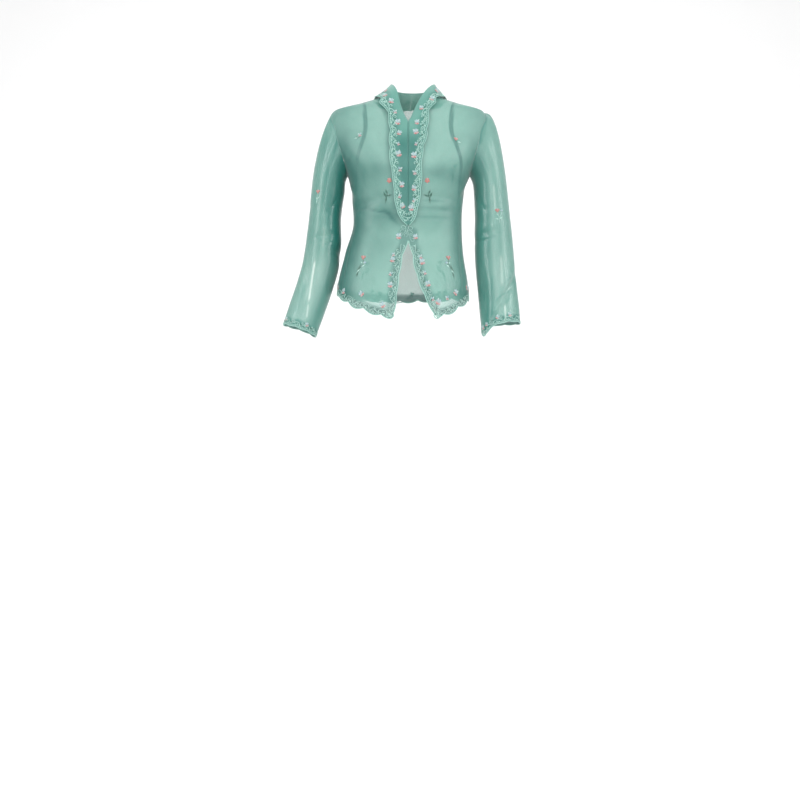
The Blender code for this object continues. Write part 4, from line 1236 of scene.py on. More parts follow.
class Ground:
    """A surface of two numbers, with its outward side and the number that leads upwards."""

    def __init__(self, surface, sign, upward):
        self.surface, self.sign, self.upward = surface, sign, upward

    def slopes(self, a, b):
        along_a = (self.surface(a + SMALL, b) - self.surface(a - SMALL, b)) / (2 * SMALL)
        along_b = (self.surface(a, b + SMALL) - self.surface(a, b - SMALL)) / (2 * SMALL)
        return along_a, along_b, unit(np.cross(along_a, along_b)) * self.sign

    def steps_for(self, along_a, along_b, wanted):
        """How much to add to the two numbers to move by the wanted vector along the surface."""
        aa, ab, bb = (along_a**2).sum(-1), (along_a * along_b).sum(-1), (along_b**2).sum(-1)
        wa, wb = (along_a * wanted).sum(-1), (along_b * wanted).sum(-1)
        spread = aa * bb - ab * ab
        return (wa * bb - wb * ab) / spread, (wb * aa - wa * ab) / spread

    def lay(self, a, b, flat):
        """Lays flat drawings, places x points x (right, up, out), at places on the surface."""
        along_a, along_b, out = self.slopes(a, b)
        up = unit(along_a if self.upward == "+a" else -along_b if self.upward == "-b" else along_b)
        right = np.cross(up, out)
        wanted = right[:, None] * flat[..., 0:1] + up[:, None] * flat[..., 1:2]
        step_a, step_b = self.steps_for(along_a[:, None], along_b[:, None], wanted)
        count = flat.shape[1]
        new_a, new_b = (a[:, None] + step_a).ravel(), (b[:, None] + step_b).ravel()
        laid = self.surface(new_a, new_b).reshape(len(a), count, 3)
        return laid + out[:, None] * (flat[..., 2:3] + RISE)


body_ground = Ground(body_point, 1, "+b")
sleeve_grounds = {side: Ground(lambda a, b, s=side: arm_point(s, a, b), side, "-b") for side in (-1, 1)}
band_grounds = {side: Ground(lambda a, b, s=side: band_point(s, a, b), -side, "+a") for side in (-1, 1)}
print("grounds:", 1 + len(sleeve_grounds) + len(band_grounds))


# %% Lines beside an edge
def evenly(points, step):
    """Even numbers along a line of points, as shares of its own numbering, and the line's length."""
    along = np.concatenate([[0], np.cumsum(np.linalg.norm(np.diff(points, axis=0), axis=1))])
    count = max(2, round(along[-1] / step) + 1)
    return np.interp(np.linspace(0, along[-1], count), along, np.arange(len(points))), along[-1]


class EdgeLine:
    """A line on a ground, with a way to find the place at a distance along it and in from it."""

    def __init__(self, ground, a, b, inward_hint, step=0.0012):
        shares, self.length = evenly(ground.surface(a, b), step)
        numbers = np.arange(len(a))
        self.a, self.b = np.interp(shares, numbers, a), np.interp(shares, numbers, b)
        self.ground = ground
        self.points = ground.surface(self.a, self.b)
        self.along = np.linspace(0, self.length, len(shares))
        along_a, along_b, self.out = ground.slopes(self.a, self.b)
        ahead = unit(np.gradient(self.points, axis=0))
        self.inward = unit(np.cross(self.out, ahead)) * inward_hint
        self.step_a, self.step_b = ground.steps_for(along_a, along_b, self.inward)

    def place(self, along, inward):
        """The ground's two numbers there."""
        a = np.interp(along, self.along, self.a) + inward * np.interp(along, self.along, self.step_a)
        b = np.interp(along, self.along, self.b) + inward * np.interp(along, self.along, self.step_b)
        return a, b


print("even steps along a straight metre:", evenly(np.array([[0, 0, 0], [1, 0, 0]]), 0.25)[0])

# %% [markdown]
# ## Thread
# Machine embroidery is rayon thread laid side by side, so it shines along the stitches. A node group draws
# the stitches as fine ridges across the piece's UV map, with each crown painted lighter and each groove
# painted darker, mixed with a random unevenness of the thread. The same group serves the satin edge, the
# vines, the leaves and the petals, each with its own colour and stitch width.

# %% Spin the threads
stitch_group, stitch_in, stitch_out = node_group(
    "satin_stitches",
    [("Cloth", "NodeSocketVector", None), ("Stitches a metre", "NodeSocketFloat", 2500.0),
     ("Light thread and lit crown", "NodeSocketColor", (1, 1, 1, 1)), ("Dark thread and shaded groove", "NodeSocketColor", (0, 0, 0, 1))],
    [("Colour", "NodeSocketColor"), ("Height", "NodeSocketFloat")],
)
stitch_apart = node(stitch_group, "ShaderNodeSeparateXYZ", {0: stitch_in.outputs["Cloth"]})
stitch_turns = maths(stitch_group, "MULTIPLY", stitch_in.outputs["Stitches a metre"], math.pi)
ridge = maths(
    stitch_group, "ABSOLUTE",
    maths(stitch_group, "SINE", maths(stitch_group, "MULTIPLY", stitch_apart.outputs["X"], stitch_turns)),
)
cloud_inputs = {"Vector": stitch_in.outputs["Cloth"], "Scale": 420.0, "Detail": 2.0}
uneven = node(stitch_group, "ShaderNodeTexNoise", cloud_inputs)
# Crowns take the light colour and grooves the dark one: painted sheen and shade, with random unevenness.
shade = maths(stitch_group, "ADD", maths(stitch_group, "MULTIPLY", ridge, 0.55), maths(
    stitch_group, "MULTIPLY", uneven.outputs[0], 0.6))
thread_mix = node(
    stitch_group, "ShaderNodeMix",
    {0: shade, 6: stitch_in.outputs["Dark thread and shaded groove"], 7: stitch_in.outputs["Light thread and lit crown"]},
    data_type="RGBA", clamp_factor=True,
)
stitch_group.links.new(thread_mix.outputs[2], stitch_out.inputs["Colour"])
stitch_group.links.new(ridge, stitch_out.inputs["Height"])
THREAD_RELIEF = 0.00012


def thread(name, light, dark, stitches=2500.0):
    material = bpy.data.materials.new(name)
    material.use_nodes = True
    tree = material.node_tree
    shader = tree.nodes["Principled BSDF"]
    cloth_map = node(tree, "ShaderNodeUVMap", uv_map="cloth")
    stitches_here = place_group(tree, stitch_group, {
        "Cloth": cloth_map.outputs[0], "Stitches a metre": stitches,
        "Light thread and lit crown": light, "Dark thread and shaded groove": dark})
    tree.links.new(stitches_here.outputs["Colour"], shader.inputs["Base Color"])
    bump = node(tree, "ShaderNodeBump", {
        "Height": stitches_here.outputs["Height"], "Strength": 0.6, "Distance": THREAD_RELIEF})
    tree.links.new(bump.outputs[0], shader.inputs["Normal"])
    shader.inputs["Roughness"].default_value = 0.38
    shader.inputs["Sheen Weight"].default_value = 0.35
    return material


mint_thread = thread("mint_thread", srgb(172, 208, 197), srgb(114, 166, 155))
edge_thread = thread("edge_thread", srgb(146, 190, 178), srgb(88, 142, 132), 1800.0)
white_thread = thread("white_thread", srgb(172, 190, 188), srgb(126, 154, 156))
blue_thread = thread("blue_thread", srgb(146, 174, 180), srgb(112, 144, 154))
coral_thread = thread("coral_thread", srgb(178, 116, 106), srgb(144, 86, 80))
pink_thread = thread("pink_thread", srgb(178, 152, 152), srgb(156, 126, 128))
leaf_thread = thread("leaf_thread", srgb(38, 94, 78), srgb(26, 72, 60))
# This teal serves only the dark cord of painted shade along the bands' fold.
shadow_teal_thread = thread("shadow_teal_thread", srgb(58, 124, 114), srgb(40, 98, 90))
THREADS = (mint_thread, white_thread, blue_thread, coral_thread, pink_thread, leaf_thread, shadow_teal_thread)
MINT, WHITE, BLUE, CORAL, PINK, LEAF, SHADOW_TEAL = range(len(THREADS))
print("threads:", len(THREADS) + 1)

# %% [markdown]
# ## A needle
# Embroidery is thousands of small raised pads and cords. Joining thousands of objects one by one is slow,
# so this needle gathers points and faces in lists and makes one mesh for each part of the blouse.


# %% Gather stitches into meshes
class Needle:
    def __init__(self):
        self.points, self.faces, self.corners, self.threads = [], [], [], []
        self.count = 0

    def add(self, points, faces, corners, colour):
        """points n x 3, faces m x 4, corners the UV place of each face corner, m x 4 x 2."""
        self.points.append(points)
        self.faces.append(faces + self.count)
        self.corners.append(corners)
        self.threads.append(np.full(len(faces), colour))
        self.count += len(points)

    def cord(self, centre, out, width, height, colour=0, sides=6, closed=False):
        """A cord with an oval section along a line. width and height may change along it."""
        ahead = np.gradient(centre, axis=0)
        if closed:
            ahead = np.roll(centre, -1, axis=0) - np.roll(centre, 1, axis=0)
        across = unit(np.cross(out, unit(ahead)))
        turn = np.linspace(0, 2 * HALF_TURN, sides + 1)[:-1]
        width, height = np.broadcast_to(width, len(centre)), np.broadcast_to(height, len(centre))
        sideways = across[:, None] * (np.cos(turn)[None, :, None] * width[:, None, None])
        upward = out[:, None] * (np.sin(turn)[None, :, None] * height[:, None, None])
        points = centre[:, None] + sideways + upward
        length = np.concatenate([[0], np.cumsum(np.linalg.norm(np.diff(centre, axis=0), axis=1))])
        rows = len(centre)
        last = rows if closed else rows - 1
        row, side = np.meshgrid(np.arange(last), np.arange(sides), indexing="ij")
        row, side = row.ravel(), side.ravel()
        ahead_row, next_side = (row + 1) % rows, (side + 1) % sides
        faces = np.stack([row * sides + side, row * sides + next_side, ahead_row * sides + next_side,
                          ahead_row * sides + side], axis=1)
        end = length[ahead_row] + (ahead_row == 0) * (length[-1] + 0.001)
        u = np.stack([length[row], length[row], end, end], axis=1)
        v = np.stack([side, side + 1, side + 1, side], axis=1) / sides * 0.003
        self.add(points.reshape(-1, 3), faces, np.stack([u, v], axis=-1), colour)
        if not closed:
            for first, order in ((0, 1), ((rows - 1) * sides, -1)):
                ring = first + np.arange(sides)[::-order]
                fours = [(ring[0], ring[k], ring[k + 1], ring[k + 2]) for k in range(1, sides - 2, 2)]
                caps = np.array(fours)
                start = self.count - rows * sides
                self.faces.append(caps + start)
                self.corners.append(np.zeros((len(caps), 4, 2)))
                self.threads.append(np.full(len(caps), colour))

    def pads(self, laid, pattern, colour):
        """Copies of a modelled pad, laid at many places: places x points x 3."""
        places, size = laid.shape[:2]
        faces = (np.arange(places)[:, None, None] * size + pattern.faces[None]).reshape(-1, 4)
        corners = np.tile(pattern.corners, (places, 1, 1))
        self.add(laid.reshape(-1, 3), faces, corners, colour)

    def sew(self, name, materials):
        mesh = bpy.data.meshes.new(name)
        points, faces, corners = np.vstack(self.points), np.vstack(self.faces), np.vstack(self.corners)
        listed = [face[:3] if face[3] == face[2] else face for face in faces.tolist()]
        mesh.from_pydata(points.tolist(), [], listed)
        keep = np.ones((len(faces), 4), bool)
        keep[:, 3] = faces[:, 3] != faces[:, 2]
        cloth_map = mesh.uv_layers.new(name="cloth")
        cloth_map.data.foreach_set("uv", corners[keep].ravel())
        mesh.polygons.foreach_set("material_index", np.concatenate(self.threads).astype(np.int32))
        mesh.shade_smooth()
        return finish_piece(name, mesh, materials)


print("a needle gathers:", ", ".join(vars(Needle())))

# %% [markdown]
# ## The satin edge
# All cut edges that show are closed by a dense satin stitch over the raw edge, about 2.5 mm wide and a
# little lighter than the cloth. It follows the scallops. A flat tube wraps the edge on both faces, and its
# thread material draws the stitches across it.

# %% Find the cut edges
EDGE_STEP = 0.0015
EDGE_HALF_WIDTH = 0.0013
EDGE_HALF_HEIGHT = 0.0007
EDGE_INSET = 0.0009
BAND_EDGE_THIN = 0.75
HEM_RADIUS = 0.165


def front_edge_line(side):
    """Angles and heights down the parted edge, round the corner and along the hem to the centre back."""
    corner_height = np.array([OPENING_TOP - 0.15])
    for _ in range(10):
        corner = front_edge_angle(side, corner_height) + CORNER_RADIUS / ring_half(corner_height)
        corner_height = hem_height(side, corner) + CORNER_RADIUS
    foot = corner_height[0]
    heights = np.arange(OPENING_TOP + 0.004, foot, -EDGE_STEP)
    notch = scallop(heights - foot, HEM_LOBE, FRONT_EDGE_NOTCH) * (heights < OPENING_TOP)
    angles = front_edge_angle(side, heights) + beside(heights) + notch / ring_half(heights)
    turn = np.linspace(0, HALF_TURN / 2, 13)[1:-1]
    turn_angles = corner[0] - CORNER_RADIUS * np.cos(turn) / ring_half(np.array([foot]))
    turn_heights = foot - CORNER_RADIUS * np.sin(turn)
    hem_angles = np.arange(corner[0], HALF_TURN, EDGE_STEP / HEM_RADIUS)
    hem_heights = scalloped_hem(side, hem_angles)
    return (np.concatenate([angles, turn_angles, hem_angles]),
            np.concatenate([heights, turn_heights, hem_heights]))


def edge_cord(needle, line, thin=1.0):
    centre = line.points + line.inward * EDGE_INSET * thin
    needle.cord(centre, line.out, EDGE_HALF_WIDTH * thin, EDGE_HALF_HEIGHT, sides=8)


hem_edges = {}
for side in (-1, 1):
    angles, heights = front_edge_line(side)
    hem_edges[side] = EdgeLine(body_ground, side * angles, heights, side, step=EDGE_STEP)
    print("front and hem edge:", round(hem_edges[side].length, 3), "m")

# %% Sew the satin edges
hem_satins = {}
for side, word in ((-1, "right"), (1, "left")):
    needle = Needle()
    edge_cord(needle, hem_edges[side])
    hem_satins[side] = needle.sew("satin_hem_" + word, [edge_thread])

band_satins = {}
band_edges = {}
for side, word in ((-1, "right"), (1, "left")):
    steps = np.linspace(0.02, BAND_END, 700)
    shares = band_edge_share(side, steps)
    band_edges[side] = EdgeLine(band_grounds[side], steps, shares, side, step=EDGE_STEP)
    needle = Needle()
    edge_cord(needle, band_edges[side], thin=BAND_EDGE_THIN)
    band_satins[side] = needle.sew("satin_collar_" + word, [edge_thread])

cuff_satins = {}
cuff_edges = {}
for side, word in ((-1, "right"), (1, "left")):
    turns = np.linspace(0, 2 * HALF_TURN, 400)
    notch = scallop(turns * cuff_lobes(side) / (2 * HALF_TURN), 1.0, CUFF_NOTCH)
    distances = arm_length(side) + cuff_reach(side, turns) - notch
    cuff_edges[side] = EdgeLine(sleeve_grounds[side], turns, distances, -side, step=EDGE_STEP)
    needle = Needle()
    centre = cuff_edges[side].points[:-1] + cuff_edges[side].inward[:-1] * EDGE_INSET
    out = cuff_edges[side].out[:-1]
    needle.cord(centre, out, EDGE_HALF_WIDTH, EDGE_HALF_HEIGHT, sides=8, closed=True)
    cuff_satins[side] = needle.sew("satin_cuff_" + word, [edge_thread])
for side in (-1, 1):
    lengths = [round(line.length, 3) for line in (hem_edges[side], band_edges[side], cuff_edges[side])]
    print("satin on hem, band and cuff:", lengths, "m")

# %% [markdown]
# ## Petals, leaves and buds
# The flowers are small bells: white and pale blue petals above, pink and coral ones below, worked in satin
# stitch over a little padding. One petal, one leaf and one round knot are modelled, as squashed
# spheres with a drawn-out tip and a flat back. A flower is then a handful of them, turned and scaled.

# %% Model the three pads
PAD_SEGMENTS = 10
PAD_RINGS = 6


class Pattern:
    """Points, four-cornered faces and UV corners of a pad, read from a modelled mesh."""

    def __init__(self, mesh):
        self.points = np.array([vertex.co[:] for vertex in mesh.vertices])
        faces = [list(face.vertices) for face in mesh.polygons]
        self.faces = np.array([face if len(face) == 4 else face + face[-1:] for face in faces])
        self.corners = self.points[self.faces][..., :2]


def model_pad(name, width, length, thickness, tip, waist):
    """A pad that starts at its base and points up. tip and waist pull its two ends in."""
    bpy.ops.mesh.primitive_uv_sphere_add(
        segments=PAD_SEGMENTS, ring_count=PAD_RINGS, radius=0.5, location=(0, 0, 0)
    )
    pad = bpy.context.object
    bpy.ops.object.mode_set(mode="EDIT")
    bpy.ops.transform.rotate(value=HALF_TURN / 2, orient_axis="X", center_override=(0, 0, 0))
    bpy.ops.transform.translate(value=(0, 0.5, 0))
    for low, high, pull in ((0.72, 1.1, tip), (-0.1, 0.28, waist)):
        bpy.ops.mesh.select_all(action="DESELECT")
        bpy.ops.object.mode_set(mode="OBJECT")
        for vertex in pad.data.vertices:
            vertex.select = low < vertex.co.y < high
        bpy.ops.object.mode_set(mode="EDIT")
        bpy.ops.transform.resize(value=(pull, 1, pull), center_override=(0, (low + high) / 2, 0))
    bpy.ops.mesh.select_all(action="SELECT")
    bpy.ops.transform.resize(value=(width, length, thickness), center_override=(0, 0, 0))
    bpy.ops.mesh.select_all(action="DESELECT")
    bpy.ops.object.mode_set(mode="OBJECT")
    for vertex in pad.data.vertices:
        vertex.select = vertex.co.z < -1e-6
    bpy.ops.object.mode_set(mode="EDIT")
    bpy.ops.transform.resize(value=(1, 1, 0.3), center_override=(0, 0, 0))
    bpy.ops.object.mode_set(mode="OBJECT")
    pattern = Pattern(pad.data)
    mesh = pad.data
    bpy.data.objects.remove(pad)
    bpy.data.meshes.remove(mesh)
    print(name, "pad:", len(pattern.faces), "faces")
    return pattern


petal = model_pad("petal", 0.0046, 0.0066, 0.0022, 0.85, 0.55)
leaf = model_pad("leaf", 0.0030, 0.0080, 0.0014, 0.35, 0.45)
knot = model_pad("knot", 0.0024, 0.0024, 0.0024, 1.0, 1.0)

# %% [markdown]
# ## Drawing a flower
# A drawing is a list of pads, each with a place, a turn and a size, and a list of stems. Turning clockwise
# from straight up makes it easy to read a drawing off a sketch. Every copy is turned and sized a little
# differently, as a hand-guided machine would, with seeded numbers so that each run gives the same blouse.

# %% Draw the flowers
# pad, x, y in millimetres, clockwise turn in degrees, width and length against the pattern, thread
BELL_FLOWER = (
    (petal, -0.7, 0.6, -60, 0.90, 1.00, BLUE),
    (petal, 0.7, 0.6, 56, 0.95, 1.10, WHITE),
    (petal, -0.4, 0.4, -24, 1.15, 1.45, WHITE),
    (petal, 0.4, 0.4, 18, 1.10, 1.30, BLUE),
    (petal, -0.4, -0.6, -116, 1.00, 1.00, PINK),
    (petal, 0.4, -0.6, 124, 1.05, 0.95, PINK),
    (petal, -0.4, -0.8, -154, 1.10, 0.85, CORAL),
    (petal, 0.5, -0.8, 164, 1.05, 0.80, PINK),
    (knot, 0.0, -1.0, 0, 1.20, 1.20, WHITE),
)
SMALL_FLOWER = (
    (petal, 0.0, 0.0, -38, 1.00, 1.10, WHITE),
    (petal, 0.0, 0.0, 30, 1.00, 1.05, BLUE),
    (petal, 0.0, 0.0, 142, 0.95, 0.78, PINK),
    (petal, 0.0, 0.0, -138, 0.95, 0.78, PINK),
    (knot, 0.0, -0.6, 0, 0.90, 0.90, CORAL),
)
ROUND_BLOOM = tuple((petal, 0.0, 0.0, turn, 1.15, 0.98, CORAL) for turn in (-30, 42, 114, 186, 258)) + (
    (knot, 0.0, 0.0, 0, 1.6, 1.6, PINK),
    (petal, 0.0, 3.2, 10, 0.8, 0.55, PINK),
)
CORAL_BUD = (
    (petal, -0.9, -1.0, -38, 1.20, 1.15, CORAL),
    (petal, 0.9, -1.0, 38, 1.20, 1.15, CORAL),
    (petal, 0.0, -1.0, 0, 1.00, 1.20, PINK),
    (petal, -0.3, -0.4, 150, 0.95, 0.62, CORAL),
    (petal, 0.5, -0.4, -150, 0.95, 0.62, CORAL),
)
BLUE_BUD = (
    (petal, 0.0, 0.0, 0, 0.90, 0.95, BLUE),
    (petal, 0.0, 0.0, -50, 0.72, 0.80, WHITE),
    (petal, 0.0, 0.0, 50, 0.72, 0.80, BLUE),
)
print("pads in a bell, a small flower, a bloom:", len(BELL_FLOWER), len(SMALL_FLOWER), len(ROUND_BLOOM))

# %% Place copies of a drawing
rng = np.random.default_rng(11)


def pad_points(pattern, x, y, turn, width, length):
    points = pattern.points * (width, length, 1.0)
    cos, sin = math.cos(math.radians(turn)), math.sin(math.radians(turn))
    right = points[:, 0] * cos + points[:, 1] * sin + x * 0.001
    up = points[:, 1] * cos - points[:, 0] * sin + y * 0.001
    return np.stack([right, up, points[:, 2]], axis=-1)


def vary(flat, turn, size, mirror=False):
    """A drawing's points, turned and sized as a whole."""
    cos, sin = math.cos(math.radians(turn)), math.sin(math.radians(turn))
    x = -flat[..., 0] if mirror else flat[..., 0]
    right, up = x * cos + flat[..., 1] * sin, flat[..., 1] * cos - x * sin
    return np.stack([right * size, up * size, flat[..., 2] * size], axis=-1)


def sew_flowers(needle, ground, places, drawing, turns, sizes, mirrors=None):
    """places n x 2 of the ground's numbers."""
    places = np.atleast_2d(np.array(places, float))
    mirrors = mirrors or [False] * len(places)
    for pattern, x, y, turn, width, length, colour in drawing:
        flat = pad_points(pattern, x, y, turn, width, length)
        copies = np.array([vary(flat, t, s, m) for t, s, m in zip(turns, sizes, mirrors)])
        needle.pads(ground.lay(places[:, 0], places[:, 1], copies), pattern, colour)


def loosely(count, turn=20.0, size=0.12):
    return rng.uniform(-turn, turn, count), rng.uniform(1 - size, 1 + size, count)


def mirrored(count):
    return [number % 2 == 0 for number in range(count)]


def at_degrees(angle, value):
    return math.radians(angle), value


print("the left side at height -0.3 m:", at_degrees(90, -0.3))

# %% Sew a stem
CORD_WIDTH = 0.00058
CORD_HEIGHT = 0.00046


def sew_stem(needle, ground, place, line, size=1.0, mirror=False, colour=LEAF, thick=1.0):
    """A stem drawn as (right, up) in millimetres, smoothed and laid at a place."""
    line = np.array(line, float) / 1000
    fine = np.linspace(0, len(line) - 1, 10 * (len(line) - 1) + 1)
    keyed = [(k, *row) for k, row in enumerate(line)]
    flat = np.concatenate([read_table(keyed, fine), np.zeros((len(fine), 1))], axis=1)
    flat = vary(flat, 0.0, size, mirror)
    a, b = np.array([place[0]]), np.array([place[1]])
    laid = ground.lay(a, b, flat[None])[0]
    out = np.repeat(ground.slopes(a, b)[2], len(fine), axis=0)
    taper = thick * np.interp(fine, [0, 1, len(line) - 1], [0.6, 1.0, 0.6])
    needle.cord(laid, out, CORD_WIDTH * taper, CORD_HEIGHT * taper, colour)


print("a stem is", 2 * CORD_WIDTH, "m wide and", CORD_HEIGHT, "m high")

# %% [markdown]
# ## Vines
# Between the satin edge and the flowers runs a vine in pale thread: a stem that swings from side to side,
# a curl at each swing, small leaves, and a row of little arcs that echo the scallops. The lines are drawn
# as distances along and in from the edge, so one drawing fits the hem, the bands and the cuffs.

# %% Grow a vine along an edge
VINE_STEP = 0.0009
SWING = 0.026
STEM_IN = 0.0115
STEM_SWING = 0.0030
ARC_LENGTH = 0.0066
ARC_IN = 0.0030
ARC_HEIGHT = 0.0030
CURL_RADIUS = 0.0036
VINE_THICK = 1.0
BAND_VINE_THICK = 1.2


def vine_lines(length, depth_share=1.0):
    """Arcs, a stem, curls and tendrils as lines of (along, inward)."""
    along = np.arange(0.003, length - 0.003, VINE_STEP)
    swing = 2 * HALF_TURN * along / SWING
    stem = STEM_IN + STEM_SWING * np.sin(swing) + 0.0008 * np.sin(1.7 * swing + 1.0)
    arcs = ARC_IN + ARC_HEIGHT * np.abs(np.sin(HALF_TURN * along / ARC_LENGTH))
    lines = [(along, stem * depth_share), (along, arcs * depth_share)]
    for number in range(int(length / SWING * 2)):
        at = (number + 0.62) * SWING / 2 + rng.uniform(-0.0012, 0.0012)
        if not 0.010 < at < length - 0.010:
            continue
        way = 1 if number % 2 else -1
        middle = STEM_IN + way * 0.0040 + 0.0006
        turn = np.linspace(0, 1.75 * HALF_TURN, 20) + rng.uniform(-0.3, 0.3)
        radius = CURL_RADIUS * (1.15 if way > 0 else 0.85) * np.linspace(1, 0.32, 20)
        lines.append((at + radius * np.sin(turn), (middle - way * radius * np.cos(turn)) * depth_share))
        tendril = np.linspace(0, 1, 10)
        reached = STEM_IN + way * (0.001 + 0.0062 * tendril**1.4)
        lines.append((at + 0.005 + 0.005 * tendril, reached * depth_share))
    return lines


def sew_vine(needle, line, start=0.0, depth_share=1.0, thick=VINE_THICK):
    end = line.length
    for along, inward in vine_lines(end - start, depth_share):
        a, b = line.place(start + along, inward)
        points = line.ground.surface(a, b)
        out = line.ground.slopes(a, b)[2]
        centre = points + out * (RISE + CORD_HEIGHT * 0.5)
        needle.cord(centre, out, CORD_WIDTH * thick, CORD_HEIGHT * thick, MINT, sides=5)
    count = int((end - start) / SWING * 2)
    alongs = start + (np.arange(count) + 0.2) * SWING / 2
    inward = (STEM_IN + 0.0026 * np.where(np.arange(count) % 2, 1, -1)) * depth_share
    a, b = line.place(alongs, inward)
    heading = leaf_turns(line, alongs)
    turns = heading + np.where(np.arange(count) % 2, 48, -48) + rng.uniform(-12, 12, count)
    for number, colours in ((0, MINT), (1, LEAF)):
        some = np.arange(count) % 2 == number
        flat = pad_points(leaf, 0, 0, 0, 1.05, 0.85)
        copies = np.array([vary(flat, t, 0.95) for t in turns[some]])
        needle.pads(line.ground.lay(a[some], b[some], copies), leaf, colours)


def leaf_turns(line, along):
    """The clockwise turn from straight up of the line's own direction, at distances along it."""
    a, b = line.place(along, 0.0)
    ahead_a, ahead_b = line.place(along + 0.001, 0.0)
    along_a, along_b, out = line.ground.slopes(a, b)
    upward = line.ground.upward
    up = unit(along_a if upward == "+a" else -along_b if upward == "-b" else along_b)
    right = np.cross(up, out)
    ahead = line.ground.surface(ahead_a, ahead_b) - line.ground.surface(a, b)
    return np.degrees(np.arctan2((ahead * right).sum(-1), (ahead * up).sum(-1)))


print("the hem's first heading:", np.round(leaf_turns(hem_edges[1], np.array([0.03])), 1), "degrees from up")

# %% Tables of the hem's flowers
# angle round the body in degrees, height
HEM_FLOWERS = (
    (-6.75, -0.369), (-10.0, -0.427), (-10.75, -0.489), (-16.25, -0.538), (-34.75, -0.509),
    (9.5, -0.370), (16.5, -0.432), (20.75, -0.486), (29.25, -0.530), (46.75, -0.504), (69.5, -0.486),
)
HEM_BUDS = ((-9.5, -0.414), (-10.75, -0.462), (15.0, -0.420), (18.5, -0.459), (24.5, -0.523), (37.5, -0.519))
HEM_TURNS = (0, 8, 4, -30, -52, 0, -8, -4, 30, 48, 70)
BACK_FLOWER_GAP = 0.062
FLOWER_IN = 0.0215
# Loops between the bands' tips and the parting, in millimetres right and up of a place above the parting
TOP_PLACE = (0.0, -0.355)
TOP_LOOPS = (
    ((1, 15), (4, 9), (2, 2), (5, -5), (9, -12), (12, -19)), ((3, 10), (9, 13), (14, 9), (10, 4), (5, 6)),
    ((3, 1), (10, 2), (15, -2), (12, -6), (8, -4)), ((2, 3), (1, -4), (4, -10), (2, -15)),
    ((6, -8), (13, -9), (17, -6)), ((12, -19), (16, -24), (21, -22), (20, -17), (15, -17)),
)
print("placed on the front's hem:", len(HEM_FLOWERS), "flowers and", len(HEM_BUDS), "buds")

# %% Embroider the hem and the parted edges
hem_embroideries = {}
for side, word in ((-1, "right"), (1, "left")):
    needle = Needle()
    line = hem_edges[side]
    sew_vine(needle, line, start=0.012)
    here = [row for row in zip(HEM_FLOWERS, HEM_TURNS) if side * row[0][0] > 0]
    places = [at_degrees(*place) for place, _ in here]
    turns = [turn + rng.uniform(-14, 14) for _, turn in here]
    sizes = loosely(len(places))[1]
    sew_flowers(needle, body_ground, places, BELL_FLOWER, turns, sizes, mirrored(len(places)))
    places = [at_degrees(*place) for place in HEM_BUDS if side * place[0] > 0]
    sew_flowers(needle, body_ground, places, SMALL_FLOWER, *loosely(len(places), 24), mirrored(len(places)))
    first = float(np.interp(math.radians(88 if side > 0 else 62), side * line.a, line.along))
    for start, inward, drawing in ((0.0, FLOWER_IN, BELL_FLOWER), (0.5, FLOWER_IN - 0.001, SMALL_FLOWER)):
        alongs = np.arange(first + start * BACK_FLOWER_GAP, line.length - 0.012, BACK_FLOWER_GAP)
        places = np.stack(line.place(alongs, np.full(len(alongs), inward)), axis=-1)
        sew_flowers(needle, body_ground, places, drawing, *loosely(len(alongs), 30), mirrored(len(alongs)))
    for loop in TOP_LOOPS:
        sew_stem(needle, body_ground, TOP_PLACE, loop, mirror=side < 0, colour=MINT, thick=0.65)
    hem_embroideries[side] = needle.sew("embroidery_hem_" + word, THREADS)
    print(word, "hem embroidery:", len(hem_embroideries[side].data.polygons), "faces")

# %% Embroider the bands
# step along the band's table, share between the fold and the edge
BAND_FLOWERS = {
    -1: ((10.6, 0.763), (9.62, 0.458), (7.82, 0.542), (6.89, 0.475),
         (5.37, 0.508), (3.53, 0.424), (2.19, 0.441)),
    1: ((10.1, 0.729), (8.94, 0.424), (7.83, 0.424), (6.98, 0.39),
        (5.27, 0.39), (3.35, 0.441), (1.96, 0.305)),
}
BAND_BUDS = {
    -1: ((8.63, 0.508), (6.07, 0.508), (4.39, 0.492), (2.89, 0.600)),
    1: ((6.06, 0.458), (4.20, 0.475), (2.60, 0.480)),
}
NECK_FLOWERS = ((11.25, 0.52), (12.35, 0.50), (13.45, 0.52))
NECK_BUDS = ((11.8, 0.50), (12.9, 0.52), (13.85, 0.50))
# A dark cord along the fold where the two fronts meet is painted shade: the shadow line between them.
FOLD_SHADOW_STEPS = (2.0, 7.9)
FOLD_SHARE = 0.035
FOLD_PLACES = 160

band_embroideries = {}
for side, word in ((-1, "right"), (1, "left")):
    needle = Needle()
    sew_vine(needle, band_edges[side], start=0.006, thick=BAND_VINE_THICK)
    flowers, buds = BAND_FLOWERS[side] + NECK_FLOWERS, BAND_BUDS[side] + NECK_BUDS
    ground = band_grounds[side]
    sew_flowers(needle, ground, flowers, BELL_FLOWER, *loosely(len(flowers), 26), mirrored(len(flowers)))
    sew_flowers(needle, ground, buds, SMALL_FLOWER, *loosely(len(buds), 26), mirrored(len(buds)))
    steps = np.linspace(*FOLD_SHADOW_STEPS, FOLD_PLACES)
    shares = np.full(FOLD_PLACES, FOLD_SHARE)
    out = ground.slopes(steps, shares)[2]
    needle.cord(ground.surface(steps, shares) + out * RISE, out, 0.0006, 0.0003, SHADOW_TEAL, sides=5)
    band_embroideries[side] = needle.sew("embroidery_collar_" + word, THREADS)
    print(word, "band embroidery:", len(band_embroideries[side].data.polygons), "faces")

